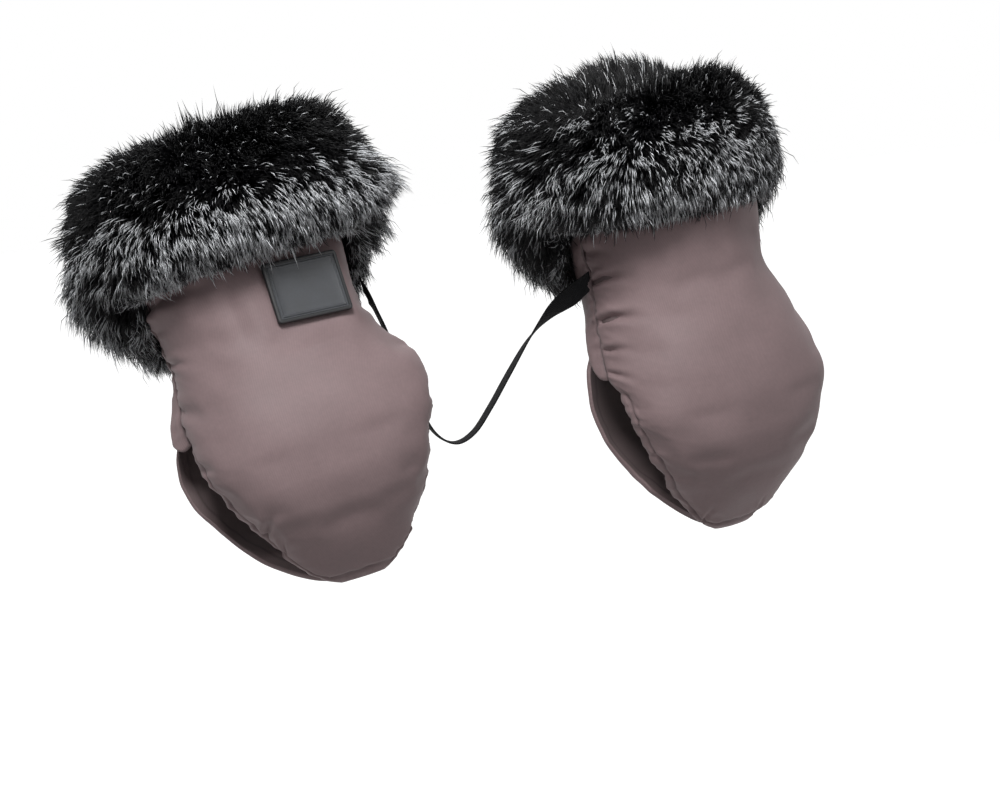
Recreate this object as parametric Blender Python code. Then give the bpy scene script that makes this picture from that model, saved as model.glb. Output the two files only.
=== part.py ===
"""A pair of padded hand muffs with fur cuffs, joined by a webbing strap.

The line that both muffs grip runs along X through the origin, +Z points up the muffs to
their cuffs and their fronts face -Y. Each muff is a front panel that ends in a rounded
tongue, a back panel, and a flap that folds round behind the grip line and is pressed to
the tongue with two press studs. Every panel is a cloth shell, a wadding and a lining.
"""

import math

import bmesh
import bpy
import numpy as np

# How the two muffs sit on the grip line, with angles in degrees: each is tilted back,
# leaned to one side and turned about its own height
MUFF_SPACING = 0.252
GRIP_BEHIND_SEAM = 0.008
TILT_DEGREES = {"left": -6.0, "right": 4.5}
LEAN_DEGREES = {"left": -11.3, "right": -4.6}
TURN_DEGREES = {"left": 1.0, "right": 18.0}
SIDES = {"left": -1.0, "right": 1.0}

# A muff's main sizes, from the cuff's rim down to the tongue's tip
LENGTH = 0.256
RIM_ABOVE_GRIP = 0.165
HALF_WIDTH = 0.0705
FRONT_DEPTH = 0.050
BACK_DEPTH = 0.072
SEAM_SET_BACK = 0.031
FRONT_PADDING = 0.014
BACK_PADDING = 0.009
SECTION_POWER = 2.4

# Cloth, and the clearance between two pieces that touch
CLOTH = 0.0008
CLEARANCE = 0.0003
EDGE_THICKNESS = 0.0028
TONGUE_EDGE = 0.0022

# The tongue's tip, and the flap that folds round to it behind the grip line
TIP_HEIGHT = RIM_ABOVE_GRIP - LENGTH
FLAP_HALF_WIDTH = 0.069
FLAP_DEPTH = 0.057
FLAP_ROOT_ABOVE_GRIP = 0.036
FLAP_SHORT_OF_TIP = 0.001
FLAP_PADDING = 0.0075
FOLD_GAP = 0.0005
FLAP_LENGTH = FLAP_ROOT_ABOVE_GRIP - FOLD_GAP - TIP_HEIGHT - FLAP_SHORT_OF_TIP
SLOT_END_ABOVE_GRIP = 0.017

# The flat seats that tongue and flap have where the studs join them
TONGUE_SEAT = 0.0031
FLAP_SEAT = 0.0020
FLAP_SEAT_THICKNESS = 0.0040
SEAT_HEIGHT = 0.025
SEAT_RUN_IN = 0.016

# The fur cuff
FUR_DEPTH = 0.032
FUR_TOP_ABOVE_RIM = 0.023
FUR_FRONT_HEM = 0.057
FUR_BACK_HEM = 0.099
FUR_WALL_GAP = 0.0010
FACING_DEPTH = 0.018
FACING_THICKNESS = 0.008
RIM_THICKNESS = 0.0045

# The cuff's outline as (depth share, height share) pairs: from its hem to the rim, from
# the rim to its top, and from there down into the mouth
FUR_BELOW_RIM_SHARES = ((0.44, 0.02), (0.80, 0.18), (1.00, 0.50))
FUR_ABOVE_RIM_SHARES = ((0.98, 0.00), (0.78, 0.60), (0.36, 1.00))
FUR_MOUTH_SHARES = ((0.45, 0.85), (1.00, 0.25))
FUR_WALL_SHARES = (1.0, 0.75, 0.5, 0.25, 0.0)

# A press stud's pieces
STUD_SPREAD = 0.024
STUD_ABOVE_TIP = 0.014
CAP_RADIUS = 0.0065
CAP_HEIGHT = 0.0016
SOCKET_RADIUS = 0.0062
SOCKET_HEIGHT = 0.0032
SOCKET_BORE = 0.0036
SOCKET_FLOOR = 0.0012
STUD_RADIUS = 0.0060
STUD_BASE = 0.0010
STUD_HEAD_RADIUS = 0.0032
STUD_HEIGHT = 0.0031
POST_RADIUS = 0.0055
POST_HEIGHT = 0.0009
BARREL_RADIUS = 0.0019
BARREL_CLEARANCE = 0.0004
STUD_SIDES = 16

# Outlines of the studs' turned pieces, as (radius share, height share) pairs
STUD_RIM_SHARE = 0.8
STUD_BASE_SHARES = ((0.95, 1.0), (0.86, 1.5))
STUD_HEAD_SHARES = ((1.00, 0.80), (0.80, 1.00))
SOCKET_SHARES = ((0.80, 1.1), (0.78, 1.0), (1.06, 1.0), (1.00, 0.8))
CAP_SHARES = ((1.00, 0.35), (0.80, 0.80), (0.40, 1.00))

# The rubber patch on the left muff
PATCH_WIDTH = 0.046
PATCH_HEIGHT = 0.038
PATCH_RIGHT_OF_CENTRE = 0.0235
PATCH_BELOW_RIM = 0.0800
PATCH_THICKNESS = 0.0014
PATCH_RIM_WIDTH = 0.0026
PATCH_RIM_HEIGHT = 0.0009
PATCH_GAP = 0.0009

# The webbing strap, and its route from the right muff's seam to the left muff's
STRAP_WIDTH = 0.012
STRAP_THICKNESS = 0.0013
STRAP_ROUTE = (
    (0.0546, -0.0092, 0.0712),
    (0.0446, 0.0010, 0.0622),
    (0.0328, 0.0090, 0.0525),
    (0.0200, 0.0180, 0.0373),
    (0.0072, 0.0260, 0.0169),
    (-0.0055, 0.0305, -0.0030),
    (-0.0175, 0.0325, -0.0180),
    (-0.0300, 0.0330, -0.0230),
    (-0.0420, 0.0330, -0.0150),
    (-0.0510, 0.0325, 0.0040),
    (-0.0595, 0.0315, 0.0290),
    (-0.0685, 0.0295, 0.0565),
    (-0.0792, 0.0268, 0.0822),
)
STRAP_STEPS = 36
STRAP_SEWN_STEPS = 4
STRAP_FLAT_SHARE = 1.15
STRAP_UPRIGHT_SHARE = 0.08

# Columns across half a panel, and how far round from a seam the back's hem rises
COLUMNS = 6
COLUMN_POWER = 1.15
HEM_RISE_DEGREES = 28.0

# Front panel: how far down it is, then its half-width, crown, padding and seam line,
# each as a share of the size that it follows
FRONT_SHARES = (
    (0.000, 0.851, 0.360, 0.32, 1.000),
    (0.098, 0.851, 0.370, 0.32, 1.000),
    (0.191, 0.858, 0.395, 0.55, 0.985),
    (0.277, 0.880, 0.405, 0.68, 0.935),
    (0.355, 0.865, 0.460, 0.75, 0.840),
    (0.426, 0.875, 0.590, 0.80, 0.715),
    (0.504, 0.940, 0.785, 0.87, 0.490),
    (0.578, 1.005, 0.935, 0.93, 0.110),
    (0.652, 1.010, 1.015, 0.96, -0.300),
    (0.723, 0.920, 1.030, 1.00, -0.390),
    (0.793, 0.800, 0.945, 1.00, -0.410),
    (0.855, 0.672, 0.780, 1.00, -0.350),
    (0.906, 0.530, 0.605, 1.00, -0.258),
    (0.949, 0.430, 0.425, 1.00, -0.202),
    (0.980, 0.305, 0.288, 1.00, -0.200),
    (1.000, 0.172, 0.173, 1.00, -0.200),
)

# Back panel: how far down it is, then its crown and padding shares
BACK_SHARES = (
    (0.000, 1.000, 0.50),
    (0.098, 1.000, 0.50),
    (0.191, 0.993, 0.75),
    (0.277, 0.958, 1.00),
    (0.355, 0.903, 1.00),
    (0.426, 0.847, 1.00),
    (0.504, 0.792, 0.90),
    (0.578, 0.736, 0.60),
)

# Flap: how far down it is, then its half-width, crown, edge line and padding shares
FLAP_SHARES = (
    (0.00, 0.768, 1.000, 0.744, 0.90),
    (0.12, 0.870, 0.965, 0.710, 0.95),
    (0.24, 0.957, 0.912, 0.632, 1.00),
    (0.36, 1.000, 0.860, 0.561, 1.00),
    (0.48, 1.000, 0.780, 0.482, 1.00),
    (0.60, 0.942, 0.650, 0.386, 1.00),
    (0.70, 0.835, 0.480, 0.272, 0.90),
    (0.78, 0.710, 0.300, 0.158, 0.75),
    (0.86, 0.545, 0.160, 0.090, 0.60),
    (0.92, 0.410, 0.110, 0.074, 0.55),
    (0.97, 0.275, 0.105, 0.074, 0.55),
    (1.00, 0.165, 0.105, 0.074, 0.55),
)
FLAP_ROOT_POWER = 2.75
FLAP_TIP_POWER = 5.0
FLAP_COLUMNS = 5


def clear_scene():
    """Remove whatever the file opened with."""
    for old in list(bpy.data.objects):
        bpy.data.objects.remove(old, do_unlink=True)


def material(name, colour, roughness, metallic=0.0):
    """A Principled material in one colour."""
    made = bpy.data.materials.new(name)
    made.use_nodes = True
    shader = made.node_tree.nodes["Principled BSDF"]
    shader.inputs["Base Color"].default_value = (*colour, 1.0)
    shader.inputs["Roughness"].default_value = roughness
    shader.inputs["Metallic"].default_value = metallic
    return made


def empty(name, parent=None):
    """An empty that carries the pieces of a muff or a flap."""
    made = bpy.data.objects.new(name, None)
    made.parent = parent
    bpy.context.collection.objects.link(made)
    return made


def add_mesh(name, points, faces, finish, parent=None, anchor=(0.0, 0.0, 0.0)):
    """A closed mesh object whose faces point out, in the frame of its parent."""
    mesh = bpy.data.meshes.new(name)
    offset = np.asarray(anchor)
    mesh.from_pydata([tuple(np.asarray(point) - offset) for point in points], [], faces)
    work = bmesh.new()
    work.from_mesh(mesh)
    bmesh.ops.triangulate(work, faces=work.faces)
    bmesh.ops.recalc_face_normals(work, faces=work.faces)
    work.to_mesh(mesh)
    work.free()
    mesh.shade_smooth()
    mesh.set_sharp_from_angle(angle=math.radians(40.0))
    mesh.materials.append(finish)
    made = bpy.data.objects.new(name, mesh)
    made.parent = parent
    bpy.context.collection.objects.link(made)
    return made


def smooth_step(value):
    """Ramp from 0 to 1, level at both ends."""
    held = min(max(value, 0.0), 1.0)
    return held * held * (3.0 - 2.0 * held)


def slopes(places, values):
    """Slopes of the smooth curve through the values that never overshoots them."""
    steps = np.diff(places)
    rises = np.diff(values) / steps
    result = np.zeros(len(values))
    for index in range(1, len(values) - 1):
        before = rises[index - 1]
        after = rises[index]
        if before * after > 0.0:
            weight_before = 2.0 * steps[index] + steps[index - 1]
            weight_after = steps[index] + 2.0 * steps[index - 1]
            total = weight_before + weight_after
            result[index] = total / (weight_before / before + weight_after / after)
    result[0] = rises[0]
    result[-1] = rises[-1]
    return result


def read_shares(table, column, place):
    """The share in a column at a place down the table, on a smooth curve."""
    places = np.array([row[0] for row in table])
    values = np.array([row[column] for row in table])
    held = float(np.clip(place, places[0], places[-1]))
    index = min(int(np.searchsorted(places, held, side="right")) - 1, len(places) - 2)
    gradient = slopes(places, values)
    step = places[index + 1] - places[index]
    part = (held - places[index]) / step
    start = values[index]
    end = values[index + 1]
    return (
        start * (1.0 + 2.0 * part) * (1.0 - part) ** 2
        + gradient[index] * step * part * (1.0 - part) ** 2
        + end * part * part * (3.0 - 2.0 * part)
        + gradient[index + 1] * step * part * part * (part - 1.0)
    )


def down_share(height):
    """How far down the muff a height above the grip line lies, as a share."""
    return (RIM_ABOVE_GRIP - height) / LENGTH


def seat_share(height):
    """1 on the tongue's flat seat for the studs, 0 above its run-in."""
    seat_top = TIP_HEIGHT + SEAT_HEIGHT
    return smooth_step((seat_top + SEAT_RUN_IN - height) / SEAT_RUN_IN)


def half_width(height):
    return HALF_WIDTH * read_shares(FRONT_SHARES, 1, down_share(height))


def tongue_edge(height):
    """Depth of the front panel's edge, which is only free below the slot's end."""
    return TONGUE_EDGE * smooth_step((SLOT_END_ABOVE_GRIP - height) / SLOT_END_ABOVE_GRIP)


def seam_line(height):
    """Y of the side seam, and below the slot's end of the tongue's edge."""
    line = SEAM_SET_BACK * read_shares(FRONT_SHARES, 4, down_share(height))
    seat = -TONGUE_SEAT - TONGUE_EDGE
    share = seat_share(height)
    return line * (1.0 - share) + seat * share


def front_crown(height):
    return -FRONT_DEPTH * read_shares(FRONT_SHARES, 2, down_share(height))


def front_inner_crown(height):
    padding = FRONT_PADDING * read_shares(FRONT_SHARES, 3, down_share(height))
    share = seat_share(height)
    return (front_crown(height) + padding) * (1.0 - share) - TONGUE_SEAT * share


def back_crown(height):
    return BACK_DEPTH * read_shares(BACK_SHARES, 1, down_share(height))


def column_angles(columns):
    """Angles across a panel from one seam to the other, closer towards the seams."""
    angles = []
    for step in range(-columns, columns + 1):
        share = abs(step) / columns
        angles.append(math.copysign(math.pi / 2.0 * share**COLUMN_POWER, step))
    return angles


def across(angle):
    """Share of the half-width at an angle round the section."""
    return math.copysign(abs(math.sin(angle)) ** (2.0 / SECTION_POWER), angle)


def outward(angle):
    """Share of the depth at an angle round the section."""
    return max(math.cos(angle), 0.0) ** (2.0 / SECTION_POWER)


def body_point(height, angle, grow=0.0, back=False):
    """A point of the muff's outer face, grown outwards, at an angle from its middle."""
    seam = seam_line(height)
    if back:
        depth = back_crown(height) - seam + grow
    else:
        depth = front_crown(height) - seam - grow
    x = (half_width(height) + grow) * across(angle)
    return np.array((x, seam + depth * outward(angle), height))


def front_faces():
    """Outer and inner faces of the front panel, as rows of points."""
    outer = []
    inner = []
    for row in FRONT_SHARES:
        height = RIM_ABOVE_GRIP - LENGTH * row[0]
        inner_height = RIM_ABOVE_GRIP - (LENGTH - TONGUE_EDGE) * row[0]
        edge = seam_line(height) + tongue_edge(height)
        depth = front_inner_crown(height) - edge
        width = half_width(height) - EDGE_THICKNESS
        outer.append([body_point(height, angle) for angle in column_angles(COLUMNS)])
        inner.append(
            [
                np.array((width * across(angle), edge + depth * outward(angle), inner_height))
                for angle in column_angles(COLUMNS)
            ]
        )
    return np.array(outer), np.array(inner)


def back_faces():
    """Outer and inner faces of the back panel, whose hem rises from the seams."""
    slot_share = down_share(SLOT_END_ABOVE_GRIP)
    hem_height = FLAP_ROOT_ABOVE_GRIP + FOLD_GAP
    hem_share = down_share(hem_height)
    outer = []
    inner = []
    for row in BACK_SHARES:
        outer_row = []
        inner_row = []
        for angle in column_angles(COLUMNS):
            inset = (math.pi / 2.0 - abs(angle)) / math.radians(HEM_RISE_DEGREES)
            lowest = slot_share + (hem_share - slot_share) * smooth_step(inset)
            place = row[0] * lowest / BACK_SHARES[-1][0]
            height = RIM_ABOVE_GRIP - LENGTH * place
            point = body_point(height, angle, back=True)
            point[1] += CLEARANCE
            outer_row.append(point)
            edge = seam_line(height) + CLEARANCE
            padding = BACK_PADDING * read_shares(BACK_SHARES, 2, place)
            depth = back_crown(height) - padding - edge
            width = half_width(height) - EDGE_THICKNESS
            inner_row.append(
                np.array((width * across(angle), edge + depth * outward(angle), height))
            )
        outer.append(outer_row)
        inner.append(inner_row)
    return np.array(outer), np.array(inner)


def flap_seat_share(place):
    """1 on the flap's flat seat for the studs, 0 above its run-in."""
    run_in = SEAT_RUN_IN / FLAP_LENGTH
    seat_top = 1.0 - SEAT_HEIGHT / FLAP_LENGTH
    return smooth_step((place - seat_top + run_in) / run_in)


def flap_faces():
    """Outer and inner faces of the flap, from its fold down to its tip."""
    top = FLAP_ROOT_ABOVE_GRIP - FOLD_GAP
    outer = []
    inner = []
    for place, width_share, crown_share, edge_share, padding_share in FLAP_SHARES:
        height = top - FLAP_LENGTH * place
        inner_height = top - (FLAP_LENGTH - TONGUE_EDGE) * place
        seat = flap_seat_share(place)
        crown = FLAP_DEPTH * crown_share * (1.0 - seat)
        crown += (FLAP_SEAT + FLAP_SEAT_THICKNESS) * seat
        edge = FLAP_DEPTH * edge_share * (1.0 - seat) + (FLAP_SEAT + TONGUE_EDGE) * seat
        inner_crown = (FLAP_DEPTH * crown_share - FLAP_PADDING * padding_share) * (1.0 - seat)
        inner_crown += FLAP_SEAT * seat
        inner_edge = edge - TONGUE_EDGE
        width = FLAP_HALF_WIDTH * width_share
        power = FLAP_ROOT_POWER + (FLAP_TIP_POWER - FLAP_ROOT_POWER) * place
        outer_row = []
        inner_row = []
        for step in range(-FLAP_COLUMNS, FLAP_COLUMNS + 1):
            share = math.sin(step / FLAP_COLUMNS * math.pi / 2.0)
            swell = 1.0 - abs(share) ** power
            outer_row.append((width * share, edge + (crown - edge) * swell, height))
            inner_width = width - EDGE_THICKNESS / 2.0
            inner_y = inner_edge + (inner_crown - inner_edge) * swell
            inner_row.append((inner_width * share, inner_y, inner_height))
        outer.append(outer_row)
        inner.append(inner_row)
    return np.array(outer), np.array(inner)


def layer_between(outer, inner, first, last):
    """The two faces of one layer, a number of metres in from the outer or inner face."""
    span = inner - outer
    thickness = np.linalg.norm(span, axis=2, keepdims=True)
    direction = span / thickness
    return outer + direction * first(thickness), outer + direction * last(thickness)


def add_layer(name, faces_of_layer, finish, parent, anchor):
    """A closed sheet between two grids of points that match."""
    outer, inner = faces_of_layer
    rows, columns = outer.shape[:2]
    points = list(outer.reshape(-1, 3)) + list(inner.reshape(-1, 3))
    count = rows * columns
    faces = []
    for row in range(rows - 1):
        for column in range(columns - 1):
            corner = row * columns + column
            quad = (corner, corner + 1, corner + columns + 1, corner + columns)
            faces.append(quad)
            faces.append(tuple(count + index for index in reversed(quad)))
    border = [column for column in range(columns)]
    border += [row * columns + columns - 1 for row in range(1, rows)]
    border += [(rows - 1) * columns + column for column in range(columns - 2, -1, -1)]
    border += [row * columns for row in range(rows - 2, 0, -1)]
    for index, here in enumerate(border):
        after = border[(index + 1) % len(border)]
        faces.append((after, here, count + here, count + after))
    return add_mesh(name, points, faces, finish, parent, anchor)


def add_panel(prefix, faces_of_panel, finishes, parent, anchor=(0.0, 0.0, 0.0)):
    """A panel's cloth shell, its wadding and its cloth lining."""
    outer, inner = faces_of_panel
    shell = layer_between(outer, inner, lambda whole: 0.0 * whole, lambda whole: CLOTH)
    wadding = layer_between(
        outer,
        inner,
        lambda whole: CLOTH + CLEARANCE,
        lambda whole: whole - CLOTH - CLEARANCE,
    )
    lining = layer_between(outer, inner, lambda whole: whole - CLOTH, lambda whole: whole)
    return {
        "shell": add_layer(prefix + "_shell", shell, finishes["shell"], parent, anchor),
        "wadding": add_layer(prefix + "_wadding", wadding, finishes["wadding"], parent, anchor),
        "lining": add_layer(prefix + "_lining", lining, finishes["lining"], parent, anchor),
    }


def fur_profile(angle, back):
    """The closed outline of the fur cuff at one angle, from its hem up and over the rim."""
    rim = RIM_ABOVE_GRIP
    towards_side = 1.0 - math.cos(angle)
    side_hem = (FUR_FRONT_HEM + FUR_BACK_HEM) / 2.0
    if back:
        hem = rim - (FUR_BACK_HEM + (side_hem - FUR_BACK_HEM) * towards_side)
    else:
        hem = rim - (FUR_FRONT_HEM + (side_hem - FUR_FRONT_HEM) * towards_side**2)
    tall = rim - hem
    top = FUR_TOP_ABOVE_RIM
    facing = RIM_THICKNESS + CLEARANCE * 2.0
    inside = facing + FACING_THICKNESS
    outline = [(FUR_DEPTH * out, hem + tall * up) for out, up in FUR_BELOW_RIM_SHARES]
    outline += [(FUR_DEPTH * out, rim + top * up) for out, up in FUR_ABOVE_RIM_SHARES]
    outline += [(-inside * out, rim + top * up) for out, up in FUR_MOUTH_SHARES]
    outline += [(-inside, rim - FACING_DEPTH), (-facing, rim - FACING_DEPTH)]
    outline.append((-facing, rim + CLEARANCE))
    outline += [(FUR_WALL_GAP, hem + (tall + CLEARANCE) * up) for up in FUR_WALL_SHARES]
    return outline


def add_fur_cuff(name, finish, parent):
    """The fur cuff: a thick ring hooked over the rim of the mouth."""
    rings = []
    for back in (False, True):
        angles = column_angles(COLUMNS)
        if back:
            angles = list(reversed(angles))
        for angle in angles[:-1]:
            ring = []
            for grow, height in fur_profile(angle, back):
                point = body_point(min(height, RIM_ABOVE_GRIP), angle, grow, back)
                point[2] = height
                if back:
                    point[1] += CLEARANCE
                ring.append(point)
            rings.append(ring)
    rows = len(rings)
    columns = len(rings[0])
    faces = []
    for row in range(rows):
        after = (row + 1) % rows
        for column in range(columns):
            beside = (column + 1) % columns
            faces.append(
                (
                    row * columns + column,
                    row * columns + beside,
                    after * columns + beside,
                    after * columns + column,
                )
            )
    points = [point for ring in rings for point in ring]
    return add_mesh(name, points, faces, finish, parent)


def lathe(name, outline, finish, parent, place, facing):
    """A round piece turned from (radius, reach) pairs, with its axis along Y."""
    points = [(0.0, facing * outline[0][1], 0.0)]
    for radius, reach in outline[1:-1]:
        for side in range(STUD_SIDES):
            angle = 2.0 * math.pi * side / STUD_SIDES
            points.append((radius * math.cos(angle), facing * reach, radius * math.sin(angle)))
    points.append((0.0, facing * outline[-1][1], 0.0))
    faces = []
    last = len(points) - 1
    rings = len(outline) - 2
    for side in range(STUD_SIDES):
        beside = (side + 1) % STUD_SIDES
        faces.append((0, 1 + side, 1 + beside))
        for ring in range(rings - 1):
            low = 1 + ring * STUD_SIDES
            high = low + STUD_SIDES
            faces.append((low + side, high + side, high + beside, low + beside))
        end = 1 + (rings - 1) * STUD_SIDES
        faces.append((end + side, last, end + beside))
    made = add_mesh(name, points, faces, finish, parent)
    made.location = place
    return made


def add_cutter(name, radius, low, high, place, parent):
    """A round cutter along Y, left out of the model itself."""
    outline = ((0.0, low), (radius, low), (radius, high), (0.0, high))
    made = lathe(name, outline, None, parent, place, 1.0)
    made.hide_render = True
    made.display_type = "WIRE"
    return made


def cut(piece, cutter):
    """Cut a hole in a piece."""
    hole = piece.modifiers.new(cutter.name, "BOOLEAN")
    hole.operation = "DIFFERENCE"
    hole.solver = "EXACT"
    hole.object = cutter


def add_press_stud(prefix, x, finish, tongue, flap, front, flap_panel, anchor):
    """One press stud: stud and post on the tongue, cap and socket on the flap."""
    seat = np.array((x, 0.0, TIP_HEIGHT + STUD_ABOVE_TIP))
    on_flap = seat - np.asarray(anchor)
    barrel_bore = BARREL_RADIUS + BARREL_CLEARANCE

    stud_outline = [(0.0, 0.0), (STUD_RADIUS, 0.0), (STUD_RADIUS, STUD_BASE * STUD_RIM_SHARE)]
    stud_outline += [(STUD_HEAD_RADIUS * out, STUD_BASE * up) for out, up in STUD_BASE_SHARES]
    stud_outline += [(STUD_HEAD_RADIUS * out, STUD_HEIGHT * up) for out, up in STUD_HEAD_SHARES]
    stud_outline.append((0.0, STUD_HEIGHT))
    stud_place = seat + np.array((0.0, CLEARANCE - TONGUE_SEAT, 0.0))
    lathe(prefix + "_stud", stud_outline, finish, tongue, stud_place, 1.0)

    post_back = CLOTH + CLEARANCE
    post_outline = (
        (0.0, 0.0),
        (BARREL_RADIUS, 0.0),
        (BARREL_RADIUS, post_back),
        (POST_RADIUS, post_back),
        (POST_RADIUS, post_back + POST_HEIGHT),
        (0.0, post_back + POST_HEIGHT),
    )
    post_place = seat + np.array((0.0, -TONGUE_SEAT, 0.0))
    lathe(prefix + "_post", post_outline, finish, tongue, post_place, -1.0)

    collar, collar_top, lip, lip_inner = SOCKET_SHARES
    socket_outline = (
        (0.0, 0.0),
        (SOCKET_RADIUS, 0.0),
        (SOCKET_RADIUS, SOCKET_FLOOR),
        (SOCKET_RADIUS * collar[0], SOCKET_FLOOR * collar[1]),
        (SOCKET_RADIUS * collar_top[0], SOCKET_HEIGHT * collar_top[1]),
        (SOCKET_BORE * lip[0], SOCKET_HEIGHT * lip[1]),
        (SOCKET_BORE * lip_inner[0], SOCKET_HEIGHT * lip_inner[1]),
        (SOCKET_BORE, SOCKET_FLOOR),
        (0.0, SOCKET_FLOOR),
    )
    socket_place = on_flap + np.array((0.0, FLAP_SEAT - CLEARANCE, 0.0))
    lathe(prefix + "_socket", socket_outline, finish, flap, socket_place, -1.0)

    cap_back = FLAP_SEAT_THICKNESS + CLEARANCE
    cap_outline = [(0.0, 0.0), (BARREL_RADIUS, 0.0), (BARREL_RADIUS, cap_back)]
    cap_outline.append((CAP_RADIUS, cap_back))
    cap_outline += [(CAP_RADIUS * out, cap_back + CAP_HEIGHT * up) for out, up in CAP_SHARES]
    cap_outline.append((0.0, cap_back + CAP_HEIGHT))
    cap_place = on_flap + np.array((0.0, FLAP_SEAT, 0.0))
    lathe(prefix + "_cap", cap_outline, finish, flap, cap_place, 1.0)

    overrun = FLAP_SEAT_THICKNESS
    pocket_depth = TONGUE_SEAT + post_back + POST_HEIGHT + CLEARANCE
    hole = add_cutter(prefix + "_lining_hole", barrel_bore, -overrun, overrun, stud_place, tongue)
    cut(front["lining"], hole)
    pocket = add_cutter(
        prefix + "_pocket",
        POST_RADIUS + CLEARANCE,
        -pocket_depth,
        0.0,
        seat,
        tongue,
    )
    cut(front["wadding"], pocket)
    flap_hole = add_cutter(
        prefix + "_flap_hole", barrel_bore, -overrun, overrun * 2.0, cap_place, flap
    )
    for piece in flap_panel.values():
        cut(piece, flap_hole)


def add_patch(name, finish, parent):
    """The square rubber patch, curved with the front panel, with a raised rim."""
    rim_across = PATCH_RIM_WIDTH / PATCH_WIDTH
    rim_up = PATCH_RIM_WIDTH / PATCH_HEIGHT
    step = PATCH_RIM_HEIGHT / PATCH_WIDTH / 2.0

    def stops(rim):
        middle = np.linspace(rim + step, 1.0 - rim - step, 6)
        return [0.0, rim, *middle, 1.0 - rim, 1.0]

    columns = stops(rim_across)
    rows = stops(rim_up)
    outer = []
    inner = []
    for row_index, up in enumerate(rows):
        outer_row = []
        inner_row = []
        height = RIM_ABOVE_GRIP - PATCH_BELOW_RIM + PATCH_HEIGHT * (up - 0.5)
        for column_index, along in enumerate(columns):
            x = PATCH_RIGHT_OF_CENTRE + PATCH_WIDTH * (along - 0.5)
            on_rim = row_index in (0, 1, len(rows) - 2, len(rows) - 1)
            on_rim = on_rim or column_index in (0, 1, len(columns) - 2, len(columns) - 1)
            raised = PATCH_RIM_HEIGHT if on_rim else 0.0
            for grow, target in (
                (PATCH_GAP + PATCH_THICKNESS + raised, outer_row),
                (PATCH_GAP, inner_row),
            ):
                width = half_width(height) + grow
                seam = seam_line(height)
                depth = front_crown(height) - seam - grow
                inside = 1.0 - abs(x / width) ** SECTION_POWER
                target.append((x, seam + depth * inside ** (1.0 / SECTION_POWER), height))
        outer.append(outer_row)
        inner.append(inner_row)
    return add_layer(name, (np.array(outer), np.array(inner)), finish, parent, (0.0, 0.0, 0.0))


def strap_line():
    """Points along the strap's route, on one smooth curve."""
    route = np.array(STRAP_ROUTE)
    padded = np.vstack((2.0 * route[0] - route[1], route, 2.0 * route[-1] - route[-2]))
    spans = len(route) - 1
    points = []
    for step in range(STRAP_STEPS + 1):
        place = step / STRAP_STEPS * spans
        index = min(int(place), spans - 1)
        part = place - index
        a, b, c, d = padded[index : index + 4]
        points.append(
            0.5
            * (
                2.0 * b
                + (c - a) * part
                + (2.0 * a - 5.0 * b + 4.0 * c - d) * part**2
                + (3.0 * b - a - 3.0 * c + d) * part**3
            )
        )
    return np.array(points)


def add_strap(name, finish):
    """The flat strap, upright where it is sewn in and lying flat where it hangs lowest."""
    line = strap_line()
    tangents = np.gradient(line, axis=0)
    tangents /= np.linalg.norm(tangents, axis=1, keepdims=True)
    points = []
    for step, (point, tangent) in enumerate(zip(line, tangents)):
        along = math.sin(math.pi * step / STRAP_STEPS)
        turn = smooth_step(along * STRAP_FLAT_SHARE - STRAP_UPRIGHT_SHARE) * math.pi / 2.0
        width = np.array((0.0, -math.sin(turn), math.cos(turn)))
        sewn_in = min(step, STRAP_STEPS - step) / STRAP_SEWN_STEPS
        width -= tangent * np.dot(width, tangent) * smooth_step(sewn_in)
        width /= np.linalg.norm(width)
        face = np.cross(tangent, width)
        face /= np.linalg.norm(face)
        half = width * STRAP_WIDTH / 2.0
        thick = face * STRAP_THICKNESS / 2.0
        points += [point - half - thick, point + half - thick]
        points += [point + half + thick, point - half + thick]
    faces = [(3, 2, 1, 0)]
    for row in range(STRAP_STEPS):
        low = row * 4
        for side in range(4):
            beside = (side + 1) % 4
            faces.append((low + side, low + beside, low + 4 + beside, low + 4 + side))
    end = STRAP_STEPS * 4
    faces.append((end, end + 1, end + 2, end + 3))
    return add_mesh(name, points, faces, finish)


def add_muff(side, finishes):
    """One muff: its panels, fur cuff and press studs, on an empty at the grip line."""
    carrier = empty(side + "_muff")
    carrier.location = (SIDES[side] * MUFF_SPACING / 2.0, -GRIP_BEHIND_SEAM, 0.0)
    carrier.rotation_euler = (
        math.radians(TILT_DEGREES[side]),
        math.radians(LEAN_DEGREES[side]),
        math.radians(TURN_DEGREES[side]),
    )

    fold = (0.0, FLAP_DEPTH + FOLD_GAP, FLAP_ROOT_ABOVE_GRIP)
    flap_carrier = empty(side + "_flap_fold", carrier)
    flap_carrier.location = fold

    front = add_panel(side + "_front", front_faces(), finishes, carrier)
    add_panel(side + "_back", back_faces(), finishes, carrier)
    flap = add_panel(side + "_flap", flap_faces(), finishes, flap_carrier, fold)
    add_fur_cuff(side + "_fur_cuff", finishes["fur"], carrier)
    for number, place in ((1, -0.5), (2, 0.5)):
        add_press_stud(
            side + "_snap_" + str(number),
            STUD_SPREAD * place,
            finishes["stud"],
            carrier,
            flap_carrier,
            front,
            flap,
            fold,
        )
    return carrier


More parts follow.
